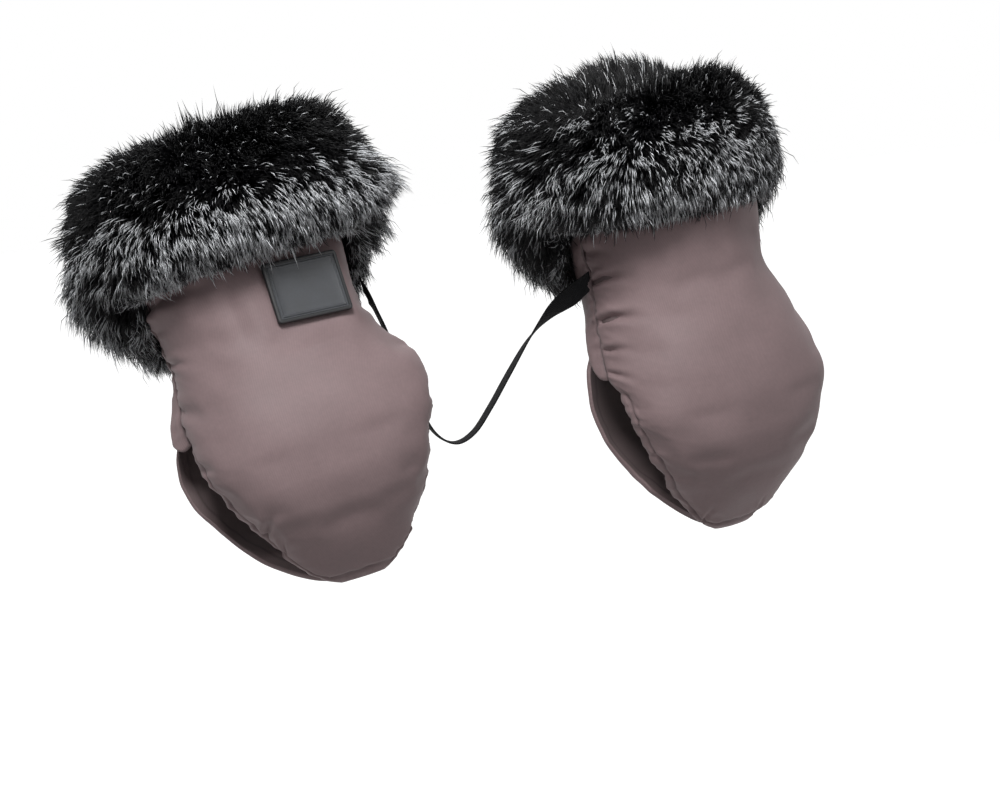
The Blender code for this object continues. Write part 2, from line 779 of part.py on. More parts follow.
def main():
    clear_scene()
    finishes = {
        "shell": material("taupe_cloth", (0.270, 0.218, 0.218), 0.55),
        "wadding": material("white_wadding", (0.80, 0.80, 0.78), 0.90),
        "lining": material("taupe_lining", (0.165, 0.132, 0.133), 0.60),
        "fur": material("black_fur", (0.050, 0.050, 0.052), 0.70),
        "stud": material("dark_metal", (0.220, 0.215, 0.210), 0.35, 1.0),
        "rubber": material("black_rubber", (0.028, 0.029, 0.031), 0.55),
        "webbing": material("black_webbing", (0.012, 0.012, 0.013), 0.75),
    }
    carriers = {side: add_muff(side, finishes) for side in SIDES}
    add_patch("left_patch", finishes["rubber"], carriers["left"])
    add_strap("joining_strap", finishes["webbing"])


main()
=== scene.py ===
"""Looks of a pair of padded hand muffs with fur cuffs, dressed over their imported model.

Lengths are in metres. Each muff's own frame has X across its front, Z up to its cuff
and its front facing -Y.
"""

import math

import bpy
import numpy as np
from bpy.props import FloatProperty, FloatVectorProperty, IntProperty, PointerProperty
from bpy.types import Operator, Panel, PropertyGroup
from mathutils import Euler, Matrix, Vector
from mathutils.kdtree import KDTree


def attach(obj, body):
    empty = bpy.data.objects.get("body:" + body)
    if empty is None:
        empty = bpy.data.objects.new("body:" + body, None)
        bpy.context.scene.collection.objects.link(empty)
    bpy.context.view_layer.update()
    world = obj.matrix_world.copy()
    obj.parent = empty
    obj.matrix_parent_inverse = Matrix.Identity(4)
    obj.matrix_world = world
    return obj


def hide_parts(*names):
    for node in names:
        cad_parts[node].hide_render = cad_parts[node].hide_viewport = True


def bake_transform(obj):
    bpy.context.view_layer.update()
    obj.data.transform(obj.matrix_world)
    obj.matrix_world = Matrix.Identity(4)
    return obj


bl_info = {
    "name": "Fur-cuffed hand muffs",
    "version": (1, 0, 0),
    "blender": (4, 5, 0),
    "location": "3D View > Sidebar > Muffs",
    "description": "Cloth panels, fur cuffs, patch, strap and studs of a pair of hand muffs",
    "category": "Object",
}

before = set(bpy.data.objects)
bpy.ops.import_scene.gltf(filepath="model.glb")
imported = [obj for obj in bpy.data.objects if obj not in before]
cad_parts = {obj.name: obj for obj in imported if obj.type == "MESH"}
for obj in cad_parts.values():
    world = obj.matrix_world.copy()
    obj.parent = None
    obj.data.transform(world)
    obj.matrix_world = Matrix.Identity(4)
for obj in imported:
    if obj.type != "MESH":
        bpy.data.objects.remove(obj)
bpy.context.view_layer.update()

# Where the two muffs sit: beside the middle, tilted back, leaned over and turned
SIDE_SIGNS = {"left": -1.0, "right": 1.0}
MUFF_SPACING = 0.252
GRIP_BEHIND_SEAM = 0.008
TILT_DEGREES = {"left": -6.0, "right": 4.5}
LEAN_DEGREES = {"left": -11.3, "right": -4.6}
TURN_DEGREES = {"left": 1.0, "right": 18.0}

# A muff's main sizes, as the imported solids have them
LENGTH = 0.256
RIM = 0.165
HALF_WIDTH = 0.0705
FRONT_DEPTH = 0.05
BACK_DEPTH = 0.072
SEAM_SET_BACK = 0.031
FRONT_PADDING = 0.014
BACK_PADDING = 0.009
SECTION_POWER = 2.4
EDGE_THICKNESS = 0.0028
TONGUE_EDGE = 0.0022
TIP = RIM - LENGTH
FLAP_HALF_WIDTH = 0.069
FLAP_DEPTH = 0.057
FLAP_PADDING = 0.0075
FLAP_LENGTH = 0.1255
SLOT_END = 0.017
TONGUE_SEAT = 0.0031
FLAP_SEAT = 0.002
FLAP_SEAT_THICKNESS = 0.004
SEAT_HEIGHT = 0.025
SEAT_RUN_IN = 0.016

# Front panel: how far down, then half-width, crown, padding and seam line shares
FRONT_SHARES = (
    (0.0, 0.851, 0.36, 0.32, 1.0),
    (0.098, 0.851, 0.37, 0.32, 1.0),
    (0.191, 0.858, 0.395, 0.55, 0.985),
    (0.277, 0.88, 0.405, 0.68, 0.935),
    (0.355, 0.865, 0.46, 0.75, 0.84),
    (0.426, 0.905, 0.59, 0.8, 0.715),
    (0.504, 0.975, 0.785, 0.87, 0.49),
    (0.578, 1.02, 0.935, 0.93, 0.11),
    (0.652, 1.015, 1.015, 0.96, -0.3),
    (0.723, 0.92, 1.03, 1.0, -0.39),
    (0.793, 0.8, 0.945, 1.0, -0.41),
    (0.855, 0.672, 0.78, 1.0, -0.35),
    (0.906, 0.53, 0.605, 1.0, -0.258),
    (0.949, 0.43, 0.425, 1.0, -0.202),
    (0.98, 0.305, 0.288, 1.0, -0.2),
    (1.0, 0.172, 0.173, 1.0, -0.2),
)

# Back panel: how far down, then crown and padding shares
BACK_SHARES = (
    (0.0, 1.0, 0.5),
    (0.098, 1.0, 0.5),
    (0.191, 0.993, 0.75),
    (0.277, 0.958, 1.0),
    (0.355, 0.903, 1.0),
    (0.426, 0.847, 1.0),
    (0.504, 0.792, 0.9),
    (0.578, 0.736, 0.6),
)

# Flap: how far down, then half-width, crown, edge line and padding shares
FLAP_SHARES = (
    (0.0, 0.795, 1.0, 0.744, 0.9),
    (0.12, 0.895, 0.965, 0.71, 0.95),
    (0.24, 0.97, 0.912, 0.632, 1.0),
    (0.36, 1.0, 0.86, 0.561, 1.0),
    (0.48, 1.0, 0.78, 0.482, 1.0),
    (0.6, 0.942, 0.65, 0.386, 1.0),
    (0.7, 0.835, 0.48, 0.272, 0.9),
    (0.78, 0.71, 0.3, 0.158, 0.75),
    (0.86, 0.545, 0.16, 0.09, 0.6),
    (0.92, 0.41, 0.11, 0.074, 0.55),
    (0.97, 0.275, 0.105, 0.074, 0.55),
    (1.0, 0.165, 0.105, 0.074, 0.55),
)
FLAP_ROOT_POWER = 2.75
FLAP_TIP_POWER = 5.0
SPREAD_POWER = 1.15

# The strap's route from the right muff's seam to the left muff's
STRAP_ROUTE = (
    (0.0546, -0.0092, 0.0712),
    (0.0446, 0.001, 0.0622),
    (0.0328, 0.009, 0.0525),
    (0.02, 0.018, 0.0373),
    (0.0072, 0.026, 0.0169),
    (-0.0055, 0.0305, -0.003),
    (-0.0175, 0.0325, -0.018),
    (-0.03, 0.033, -0.023),
    (-0.042, 0.033, -0.015),
    (-0.051, 0.0325, 0.004),
    (-0.0595, 0.0315, 0.029),
    (-0.0685, 0.0295, 0.0565),
    (-0.0792, 0.0268, 0.0822),
)
STRAP_STEPS = 180
STRAP_SEWN_SHARE = 0.11
STRAP_RIBS = 9

# The camera: degrees round, up and rolled, its distance and the point that it looks at
CAMERA_AZIMUTH = -13.69
CAMERA_ELEVATION = 7.34
CAMERA_ROLL = -5.58
CAMERA_DISTANCE = 1.827
CAMERA_TARGET = (-0.0068, 0.0, 0.0006)
CAMERA_LENS = 107.6
SENSOR_WIDTH = 36.0


class MuffSizes(PropertyGroup):
    """Sizes of the visible pieces."""

    hair_width: FloatProperty(
        name="Hair width", description="Width of a hair near its root", default=0.00046, unit="LENGTH"
    )
    hairs: IntProperty(name="Hairs", description="Number of hairs on one cuff", default=100000)
    strap_width: FloatProperty(
        name="Strap width", description="Width of the joining strap", default=0.012, unit="LENGTH"
    )
    strap_thickness: FloatProperty(
        name="Strap thickness", description="Thickness of the strap", default=0.0013, unit="LENGTH"
    )
    patch_width: FloatProperty(
        name="Patch width", description="Width of the rubber patch", default=0.049, unit="LENGTH"
    )
    patch_height: FloatProperty(
        name="Patch height", description="Height of the rubber patch", default=0.038, unit="LENGTH"
    )


class MuffColours(PropertyGroup):
    """Colours of the finishes."""

    cloth: FloatVectorProperty(
        name="Cloth", description="Colour of the outer cloth", size=3, subtype="COLOR",
        default=(0.258, 0.185, 0.189),
    )
    lining: FloatVectorProperty(
        name="Lining", description="Colour of the lining cloth", size=3, subtype="COLOR",
        default=(0.15, 0.112, 0.113),
    )
    fur: FloatVectorProperty(
        name="Fur", description="Colour of the fur's roots", size=3, subtype="COLOR",
        default=(0.0055, 0.0055, 0.0062),
    )
    frost: FloatVectorProperty(
        name="Frost", description="Colour of the fur's frosted tips", size=3, subtype="COLOR",
        default=(0.95, 0.97, 1.0),
    )
    rubber: FloatVectorProperty(
        name="Rubber", description="Colour of the rubber patch", size=3, subtype="COLOR",
        default=(0.04, 0.043, 0.049),
    )
    webbing: FloatVectorProperty(
        name="Webbing", description="Colour of the joining strap", size=3, subtype="COLOR",
        default=(0.004, 0.004, 0.0045),
    )
    metal: FloatVectorProperty(
        name="Metal", description="Colour of the press studs", size=3, subtype="COLOR",
        default=(0.22, 0.215, 0.21),
    )


def sizes():
    return bpy.context.scene.muff_sizes


def colours():
    return bpy.context.scene.muff_colours


# Shape of a muff's panels


def smooth_step(value):
    """Ramp from 0 to 1, level at both ends."""
    held = np.clip(value, 0.0, 1.0)
    return held * held * (3.0 - 2.0 * held)


def slopes(places, values):
    """Slopes of the smooth curve through the values that never overshoots them."""
    steps = np.diff(places)
    rises = np.diff(values) / steps
    result = np.zeros(len(values))
    for index in range(1, len(values) - 1):
        before = rises[index - 1]
        after = rises[index]
        if before * after > 0.0:
            weight_before = 2.0 * steps[index] + steps[index - 1]
            weight_after = steps[index] + 2.0 * steps[index - 1]
            total = weight_before + weight_after
            result[index] = total / (weight_before / before + weight_after / after)
    result[0] = rises[0]
    result[-1] = rises[-1]
    return result


def read_shares(table, column, place):
    """Shares in a column at places down the table, on a smooth curve."""
    places = np.array([row[0] for row in table])
    values = np.array([row[column] for row in table])
    held = np.clip(place, places[0], places[-1])
    index = np.clip(np.searchsorted(places, held, side="right") - 1, 0, len(places) - 2)
    gradient = slopes(places, values)
    step = places[index + 1] - places[index]
    part = (held - places[index]) / step
    rest = 1.0 - part
    return (
        values[index] * (1.0 + 2.0 * part) * rest**2
        + gradient[index] * step * part * rest**2
        + values[index + 1] * part**2 * (3.0 - 2.0 * part)
        - gradient[index + 1] * step * part**2 * rest
    )


def down_share(height):
    return (RIM - height) / LENGTH


def seat_share(height):
    """1 on the tongue's flat seat for the studs, 0 above its run-in."""
    return smooth_step((TIP + SEAT_HEIGHT + SEAT_RUN_IN - height) / SEAT_RUN_IN)


def half_width(height):
    return HALF_WIDTH * read_shares(FRONT_SHARES, 1, down_share(height))


def seam_line(height):
    """Y of the side seam, and below the slot's end of the tongue's edge."""
    line = SEAM_SET_BACK * read_shares(FRONT_SHARES, 4, down_share(height))
    share = seat_share(height)
    return line * (1.0 - share) - (TONGUE_SEAT + TONGUE_EDGE) * share


def front_crown(height):
    return -FRONT_DEPTH * read_shares(FRONT_SHARES, 2, down_share(height))


def back_crown(height):
    return BACK_DEPTH * read_shares(BACK_SHARES, 1, down_share(height))


def across(angle):
    return np.sign(angle) * np.abs(np.sin(angle)) ** (2.0 / SECTION_POWER)


def outward(angle):
    return np.maximum(np.cos(angle), 0.0) ** (2.0 / SECTION_POWER)


def joined(x, y, z):
    """Points from coordinates that are spread to one shape."""
    return np.stack(np.broadcast_arrays(x, y, z), axis=-1)


def body_surface(height, angle, grow=0.0, back=False):
    """Points of the muff's outer face, grown outwards, at angles from its middle."""
    seam = seam_line(height)
    front = front_crown(height) - seam - grow
    behind = back_crown(height) - seam + grow
    x = (half_width(height) + grow) * across(angle)
    return joined(x, seam + np.where(back, behind, front) * outward(angle), height)


def spread_angles(share, power=SPREAD_POWER):
    """Angles at shares from -1, one seam, to 1, the other, closer towards the seams."""
    return np.sign(share) * np.abs(share) ** power * math.pi / 2.0


def muff_matrix(side):
    turn = Euler(
        [math.radians(d[side]) for d in (TILT_DEGREES, LEAN_DEGREES, TURN_DEGREES)]
    )
    place = Vector((SIDE_SIGNS[side] * MUFF_SPACING / 2.0, -GRIP_BEHIND_SEAM, 0.0))
    return Matrix.Translation(place) @ turn.to_matrix().to_4x4()


def placed(points, side):
    """Points of a muff's own frame in the frame of the pair."""
    matrix = np.array(muff_matrix(side))
    return np.asarray(points) @ matrix[:3, :3].T + matrix[:3, 3]


# Meshes from grids of points


def unit(vectors):
    length = np.linalg.norm(vectors, axis=-1, keepdims=True)
    return vectors / np.maximum(length, 1e-12)


def grid_normals(grid):
    """Normals of a grid of points, on the side from which its rows run down to the right."""
    return unit(np.cross(np.gradient(grid, axis=0), np.gradient(grid, axis=1)))


def row_reach(grid):
    """Arc length along each row of a grid, from its start."""
    steps = np.linalg.norm(np.diff(grid, axis=1), axis=2)
    return np.pad(np.cumsum(steps, axis=1), ((0, 0), (1, 0)))


def line_reach(line):
    """Arc length along a line of points, from its start."""
    return row_reach(np.asarray(line)[None])[0]


def edge_gap(grid):
    """Distance of each point from the nearer end of its row, along the row."""
    reach = row_reach(grid)
    return np.minimum(reach, reach[:, -1:] - reach)


def mesh_piece(name, points, faces, finishes, finish_of_face=None, values=None):
    """A smooth mesh object from arrays; values are named numbers or vectors per point."""
    mesh = bpy.data.meshes.new(name)
    mesh.vertices.add(len(points))
    mesh.vertices.foreach_set("co", np.asarray(points, np.float32).ravel())
    counts = np.concatenate([np.full(len(f), f.shape[1]) for f in faces])
    corners = np.concatenate([f.ravel() for f in faces])
    mesh.loops.add(len(corners))
    mesh.loops.foreach_set("vertex_index", corners.astype(np.int32))
    mesh.polygons.add(len(counts))
    starts = np.concatenate(([0], np.cumsum(counts)[:-1]))
    mesh.polygons.foreach_set("loop_start", starts.astype(np.int32))
    mesh.polygons.foreach_set("loop_total", counts.astype(np.int32))
    if finish_of_face is not None:
        mesh.polygons.foreach_set("material_index", finish_of_face.astype(np.int32))
    mesh.update(calc_edges=True)
    mesh.shade_smooth()
    for finish in finishes:
        mesh.materials.append(finish)
    for key, value in (values or {}).items():
        vector = value.ndim == 2
        kind = "FLOAT_VECTOR" if vector else "FLOAT"
        attribute = mesh.attributes.new(key, kind, "POINT")
        field = "vector" if vector else "value"
        attribute.data.foreach_set(field, value.astype(np.float32).ravel())
    piece = bpy.data.objects.new(name, mesh)
    bpy.context.scene.collection.objects.link(piece)
    return piece


def grid_quads(rows, columns, keep=None):
    """Corner numbers of a grid's quads, seen with its rows running down to the right."""
    corner = np.arange(rows * columns).reshape(rows, columns)
    sides = (corner[:-1, :-1], corner[1:, :-1], corner[1:, 1:], corner[:-1, 1:])
    quads = np.stack(sides, axis=-1)
    return quads.reshape(-1, 4) if keep is None else quads[keep]


def ring_quads(rows, columns, closed=False):
    """Corner numbers of the quads between rings; closed also joins the last to the first."""
    corner = np.arange(rows * columns).reshape(rows, columns)
    if closed:
        corner = np.vstack((corner, corner[:1]))
    beside = np.roll(corner, -1, axis=1)
    return np.stack((corner[:-1], beside[:-1], beside[1:], corner[1:]), axis=-1).reshape(-1, 4)


def capped_rings(rings, middles):
    """Points and faces of a stack of rings, closed at each end by a fan round a middle."""
    rows, columns = rings.shape[:2]
    first = np.arange(columns)
    last = first + (rows - 1) * columns
    here = np.concatenate((np.roll(first, -1), last))
    beside = np.concatenate((first, np.roll(last, -1)))
    middle = rows * columns + np.repeat((0, 1), columns)
    fans = np.stack((here, beside, middle), axis=1)
    return np.concatenate((rings.reshape(-1, 3), middles)), [ring_quads(rows, columns), fans]


def border_edges(quads, count):
    """The quads' directed edges that no other quad shares."""
    ends = np.concatenate([quads[:, [k, (k + 1) % 4]] for k in range(4)])
    keys = ends[:, 0] * count + ends[:, 1]
    mirrored = ends[:, 1] * count + ends[:, 0]
    return ends[~np.isin(mirrored, keys)]


def padded_panel(name, outer, inner, finishes, values, keep=None, swell=0.25, steps=3):
    """A closed panel between two grids, with a rounded edge. Its outer face has the first
    finish, its inner face the second and its edge the third."""
    rows, columns = outer.shape[:2]
    count = rows * columns
    quads = grid_quads(rows, columns, keep)
    edges = border_edges(quads, count)
    rim = np.unique(edges)
    flat_outer = outer.reshape(-1, 3)
    flat_inner = inner.reshape(-1, 3)
    middle = flat_outer[quads].mean(axis=1)
    towards = np.zeros((count, 3))
    shared = np.zeros(count)
    for corner in range(4):
        np.add.at(towards, quads[:, corner], middle)
        np.add.at(shared, quads[:, corner], 1.0)
    away = unit(flat_outer[rim] - towards[rim] / shared[rim, None])
    through = flat_inner[rim] - flat_outer[rim]
    thickness = np.linalg.norm(through, axis=1, keepdims=True)
    points = [flat_outer, flat_inner]
    rings = [rim]
    ring_of = np.full(count, -1)
    ring_of[rim] = np.arange(len(rim))
    for step in range(1, steps):
        share = step / steps
        bulge = away * thickness * swell * math.sin(math.pi * share)
        points.append(flat_outer[rim] + through * share + bulge)
        rings.append(2 * count + (step - 1) * len(rim) + np.arange(len(rim)))
    rings.append(count + rim)
    here = ring_of[edges[:, 0]]
    after = ring_of[edges[:, 1]]
    bands = [
        np.stack((ring[after], ring[here], below[here], below[after]), axis=1)
        for ring, below in zip(rings[:-1], rings[1:])
    ]
    band_faces = np.concatenate(bands)
    faces = np.concatenate((quads, count + quads[:, ::-1], band_faces))
    finish_of_face = np.repeat((0, 1, 2), (len(quads), len(quads), len(band_faces)))
    doubled = {}
    for key, value in values.items():
        flat = value.reshape((count, -1)) if value.ndim == 3 else value.reshape(count)
        doubled[key] = np.concatenate([flat, flat] + [flat[rim]] * (steps - 1))
    all_points = np.concatenate(points)
    used = np.unique(faces)
    number = np.full(len(all_points), -1)
    number[used] = np.arange(len(used))
    doubled = {key: value[used] for key, value in doubled.items()}
    piece = mesh_piece(
        name, all_points[used], [number[faces]], finishes, finish_of_face, doubled
    )
    return piece, number[:count]


CLOTH_FRAMES = 20
CLOTH_TRAVEL = 0.005
CLOTH_STEP = 3
CLOTH_SOFTENING = 26
CLOTH_SETTINGS = {
    "quality": 6,
    "mass": 0.12,
    "tension_stiffness": 12.0,
    "compression_stiffness": 12.0,
    "shear_stiffness": 4.0,
    "bending_stiffness": 0.12,
    "air_damping": 4.0,
    "use_pressure": True,
    "uniform_pressure_force": 4.0,
    "shrink_min": -0.01,
    "vertex_group_mass": "sewn",
}


def resized(field, rows, columns):
    """A grid of values read at another number of rows and columns, on straight lines."""
    row = np.linspace(0.0, field.shape[0] - 1.001, rows)
    column = np.linspace(0.0, field.shape[1] - 1.001, columns)
    low_r = row.astype(int)
    low_c = column.astype(int)
    part_r = (row - low_r)[:, None, None]
    part_c = (column - low_c)[None, :, None]
    near = field[low_r][:, low_c] * (1 - part_c) + field[low_r][:, low_c + 1] * part_c
    far = field[low_r + 1][:, low_c] * (1 - part_c) + field[low_r + 1][:, low_c + 1] * part_c
    return near * (1 - part_r) + far * part_r


def softened(field, passes):
    """A grid of values evened out between neighbours."""
    for _ in range(passes):
        padded = np.pad(field, ((1, 1), (1, 1), (0, 0)), mode="edge")
        sides = padded[:-2, 1:-1] + padded[2:, 1:-1] + padded[1:-1, :-2] + padded[1:-1, 2:]
        field = field * 0.5 + sides * 0.125
    return field


def settled(name, outer, inner, keep, held):
    """How far each point of a panel's outer face moves when the filled cloth settles. The
    cloth has a little to spare, is held where it is sewn and swells under pressure."""
    rows = outer.shape[0] // CLOTH_STEP
    columns = outer.shape[1] // CLOTH_STEP
    coarse = resized(outer, rows, columns)
    lined = resized(inner, rows, columns)
    pinned = resized(held[..., None], rows, columns)[..., 0]
    kept = None
    if keep is not None:
        solid = resized(keep[..., None].astype(float), rows - 1, columns - 1)[..., 0]
        kept = solid > 0.5
    piece, number = padded_panel(name, coarse, lined, (), {}, kept)
    group = piece.vertex_groups.new(name="sewn")
    weights = np.ones(len(piece.data.vertices))
    seen = number >= 0
    weights[number[seen]] = pinned.ravel()[seen]
    for index, weight in enumerate(weights):
        group.add([index], float(weight), "REPLACE")
    cloth = piece.modifiers.new("filling", "CLOTH")
    for key, value in CLOTH_SETTINGS.items():
        setattr(cloth.settings, key, value)
    cloth.settings.effector_weights.gravity = 0.0
    cloth.collision_settings.use_collision = False
    scene = bpy.context.scene
    for step in range(1, CLOTH_FRAMES + 1):
        scene.frame_set(step)
    graph = bpy.context.evaluated_depsgraph_get()
    settled_piece = piece.evaluated_get(graph)
    flat = np.array([vertex.co[:] for vertex in settled_piece.data.vertices])
    if not np.isfinite(flat).all():
        raise RuntimeError(name + " did not settle")
    move = np.zeros((rows * columns, 3))
    move[seen] = flat[number[seen]] - coarse.reshape(-1, 3)[seen]
    scene.frame_set(1)
    bpy.data.objects.remove(piece)
    length = np.linalg.norm(move, axis=1, keepdims=True)
    limit = CLOTH_TRAVEL * np.tanh(length / CLOTH_TRAVEL)
    move = move / np.maximum(length, 1e-9) * limit
    fine = resized(move.reshape(rows, columns, 3), outer.shape[0], outer.shape[1])
    return softened(fine, CLOTH_SOFTENING)


# Folds, seams and puckers

CREASE_RIDGE = 0.45


def hill(value):
    """1 at nought, falling away to either side."""
    return np.exp(-(value**2))


def ripple(along, seed, wave):
    """Irregular smooth ups and downs from -1 to 1 along a length."""
    rng = np.random.default_rng(seed)
    total = np.zeros_like(along)
    for octave in range(4):
        phase = rng.uniform(0.0, 2.0 * math.pi)
        stretch = rng.uniform(0.8, 1.25)
        total += np.sin(along / (wave * stretch) * (1.0 + 0.55 * octave) * 2.0 * math.pi + phase)
    return total / 2.6


def soft_noise(x, y, seed, wave):
    """Smooth irregular noise from about -1 to 1 over a surface."""
    rng = np.random.default_rng(seed)
    total = np.zeros(np.broadcast(x, y).shape)
    for _ in range(7):
        direction = rng.uniform(0.0, 2.0 * math.pi)
        length = wave * rng.uniform(0.7, 1.6)
        phase = rng.uniform(0.0, 2.0 * math.pi)
        run = x * math.cos(direction) + y * math.sin(direction)
        total += np.sin(run / length * 2.0 * math.pi + phase)
    return total / 3.2


def crease(x, y, path, depth, width):
    """Height of a fold that runs along a path and dies away at its end."""
    path = np.array(path)
    best = np.full(np.broadcast(x, y).shape, np.inf)
    place = np.zeros_like(best)
    side = np.zeros_like(best)
    lengths = np.linalg.norm(np.diff(path, axis=0), axis=1)
    reach = line_reach(path)
    for index, length in enumerate(lengths):
        start = path[index]
        run = (path[index + 1] - start) / length
        along = (x - start[0]) * run[0] + (y - start[1]) * run[1]
        held = np.clip(along, 0.0, length)
        gap_x = x - start[0] - held * run[0]
        gap_y = y - start[1] - held * run[1]
        gap = np.hypot(gap_x, gap_y)
        nearer = gap < best
        best = np.where(nearer, gap, best)
        place = np.where(nearer, (reach[index] + held) / reach[-1], place)
        turned = run[0] * gap_y - run[1] * gap_x
        side = np.where(nearer, np.sign(turned), side)
    fade = smooth_step((1.0 - place) * 1.2) * smooth_step(place * 12.0 + 0.4)
    spread = width * (0.55 + 0.75 * place)
    raised = CREASE_RIDGE * hill((best - 2.1 * spread) / (1.3 * spread))
    return depth * fade * (raised * np.where(side > 0.0, 1.0, 0.6) - hill(best / spread))


# Finishes

WEAVE_DEPTH = 0.0001
EDGE_SHADE = 0.86
WEBBING_PICK = 0.0012


def node_group(name, inputs, outputs):
    """An empty shader node group with its sockets, and its input and output nodes."""
    group = bpy.data.node_groups.new(name, "ShaderNodeTree")
    for socket, kind, default in inputs:
        made = group.interface.new_socket(socket, in_out="INPUT", socket_type=kind)
        if default is not None:
            made.default_value = default
    for socket, kind in outputs:
        group.interface.new_socket(socket, in_out="OUTPUT", socket_type=kind)
    start = group.nodes.new("NodeGroupInput")
    end = group.nodes.new("NodeGroupOutput")
    return group, start, end


def feed(tree, node, values):
    """Give a node's inputs their values or links."""
    for key, value in values.items():
        if isinstance(value, bpy.types.NodeSocket):
            tree.links.new(value, node.inputs[key])
        else:
            node.inputs[key].default_value = value


def add_node(tree, kind, values=None, **settings):
    """A node with its settings and the values or links of its inputs."""
    node = tree.nodes.new(kind)
    for key, value in settings.items():
        setattr(node, key, value)
    feed(tree, node, values or {})
    return node


def maths(tree, operation, *values):
    node = add_node(tree, "ShaderNodeMath", dict(enumerate(values)), operation=operation)
    return node.outputs[0]


def mixed(tree, share, first, second):
    """A colour between two others."""
    values = {0: share, 6: first, 7: second}
    return add_node(tree, "ShaderNodeMix", values, data_type="RGBA").outputs[2]


def mapped(tree, value, low, high, to_low, to_high):
    values = {"Value": value, "From Min": low, "From Max": high, "To Min": to_low, "To Max": to_high}
    return add_node(tree, "ShaderNodeMapRange", values).outputs[0]


def noise(tree, place, scale, detail=2.0, roughness=0.5):
    values = {"Vector": place, "Scale": scale, "Detail": detail, "Roughness": roughness}
    return add_node(tree, "ShaderNodeTexNoise", values).outputs[0]


def bump(tree, height, strength, distance):
    values = {"Height": height, "Strength": strength, "Distance": distance}
    return add_node(tree, "ShaderNodeBump", values).outputs[0]


def carried(tree, name, output="Fac"):
    """The named number or vector that a mesh carries at its points."""
    return add_node(tree, "ShaderNodeAttribute", attribute_name=name).outputs[output]


def object_place(tree):
    return add_node(tree, "ShaderNodeTexCoord").outputs["Object"]


def finish_material(name):
    """A material with a Principled shader, and its tree and shader."""
    material = bpy.data.materials.new(name)
    material.use_nodes = True
    tree = material.node_tree
    return material, tree, tree.nodes["Principled BSDF"]


def shade(colour, share=1.0):
    """A colour made darker or lighter, with full cover."""
    return (*(min(c * share, 1.0) for c in colour), 1.0)


def weave_group():
    """Fine twill: threads that cross and a faint diagonal rib."""
    existing = bpy.data.node_groups.get("Twill weave")
    if existing:
        return existing
    group, start, end = node_group(
        "Twill weave",
        (
            ("Place", "NodeSocketVector", None),
            ("Rib Spacing", "NodeSocketFloat", 0.0011),
            ("Unevenness", "NodeSocketFloat", 0.35),
        ),
        (("Height", "NodeSocketFloat"), ("Shade", "NodeSocketFloat")),
    )
    place = start.outputs["Place"]
    split = add_node(group, "ShaderNodeSeparateXYZ", {0: place})
    uneven = noise(group, place, 420.0, 2.0, 0.6)
    run = maths(group, "MULTIPLY_ADD", split.outputs[1], 0.62, split.outputs[0])
    turns = maths(group, "DIVIDE", run, start.outputs["Rib Spacing"])
    wobble = maths(group, "MULTIPLY", uneven, start.outputs["Unevenness"])
    angle = maths(group, "MULTIPLY", maths(group, "ADD", turns, wobble), 2.0 * math.pi)
    height = maths(group, "MULTIPLY_ADD", maths(group, "SINE", angle), 0.5, uneven)
    feed(group, end, {"Height": height, "Shade": mapped(group, height, 0.0, 1.0, 0.0, 1.0)})
    return group


def variation_group():
    """Slow changes of tone over a surface, as handling and dye leave them."""
    existing = bpy.data.node_groups.get("Tone variation")
    if existing:
        return existing
    group, start, end = node_group(
        "Tone variation",
        (("Place", "NodeSocketVector", None), ("Patch Size", "NodeSocketFloat", 0.03)),
        (("Tone", "NodeSocketFloat"),),
    )
    place = start.outputs["Place"]
    scale = maths(group, "DIVIDE", 1.0, start.outputs["Patch Size"])
    broad = noise(group, place, scale, 4.0)
    fine = noise(group, place, maths(group, "MULTIPLY", scale, 9.0))
    tone = maths(group, "MULTIPLY_ADD", fine, 0.35, broad)
    feed(group, end, {"Tone": mapped(group, tone, 0.45, 0.9, 0.0, 1.0)})
    return group


def tone_of(tree, place, **sizes_given):
    """Slow changes of tone at a place, from 0 to 1."""
    values = {"Place": place, **sizes_given}
    node = add_node(tree, "ShaderNodeGroup", values, node_tree=variation_group())
    return node.outputs["Tone"]


def cloth_material(name, colour, roughness):
    """Satin twill, with painted shade along its seams and in its hem's groove."""
    existing = bpy.data.materials.get(name)
    if existing:
        return existing
    material, tree, shader = finish_material(name)
    place = carried(tree, "cloth", "Vector")
    weave = add_node(tree, "ShaderNodeGroup", {"Place": place}, node_tree=weave_group())
    tone = tone_of(tree, place)
    base = mixed(tree, tone, shade(colour, 0.9), shade(colour, 1.07))
    threads = maths(tree, "MULTIPLY", weave.outputs["Shade"], 0.26)
    woven = mixed(tree, threads, base, shade(colour, 0.55))
    # Painted shade: the seam attribute darkens the cloth along the seams and in the hem's groove
    sewn = maths(tree, "MULTIPLY", carried(tree, "seam"), 0.75)
    values = {
        "Base Color": mixed(tree, sewn, woven, shade(colour, 0.3)),
        "Roughness": mapped(tree, tone, 0.0, 1.0, roughness - 0.04, roughness + 0.05),
        "Sheen Weight": 0.03,
        "Sheen Roughness": 0.45,
        "Specular IOR Level": 0.3,
        "Normal": bump(tree, weave.outputs["Height"], 0.4, WEAVE_DEPTH),
    }
    feed(tree, shader, values)
    return material


def panel_finishes():
    """The cloth of a panel's outer face, its inner face and its turned edge."""
    cloth = colours().cloth
    return (
        cloth_material("taupe_satin_twill", cloth, 0.58),
        cloth_material("taupe_lining", colours().lining, 0.6),
        cloth_material("taupe_turned_edge", [c * EDGE_SHADE for c in cloth], 0.55),
    )


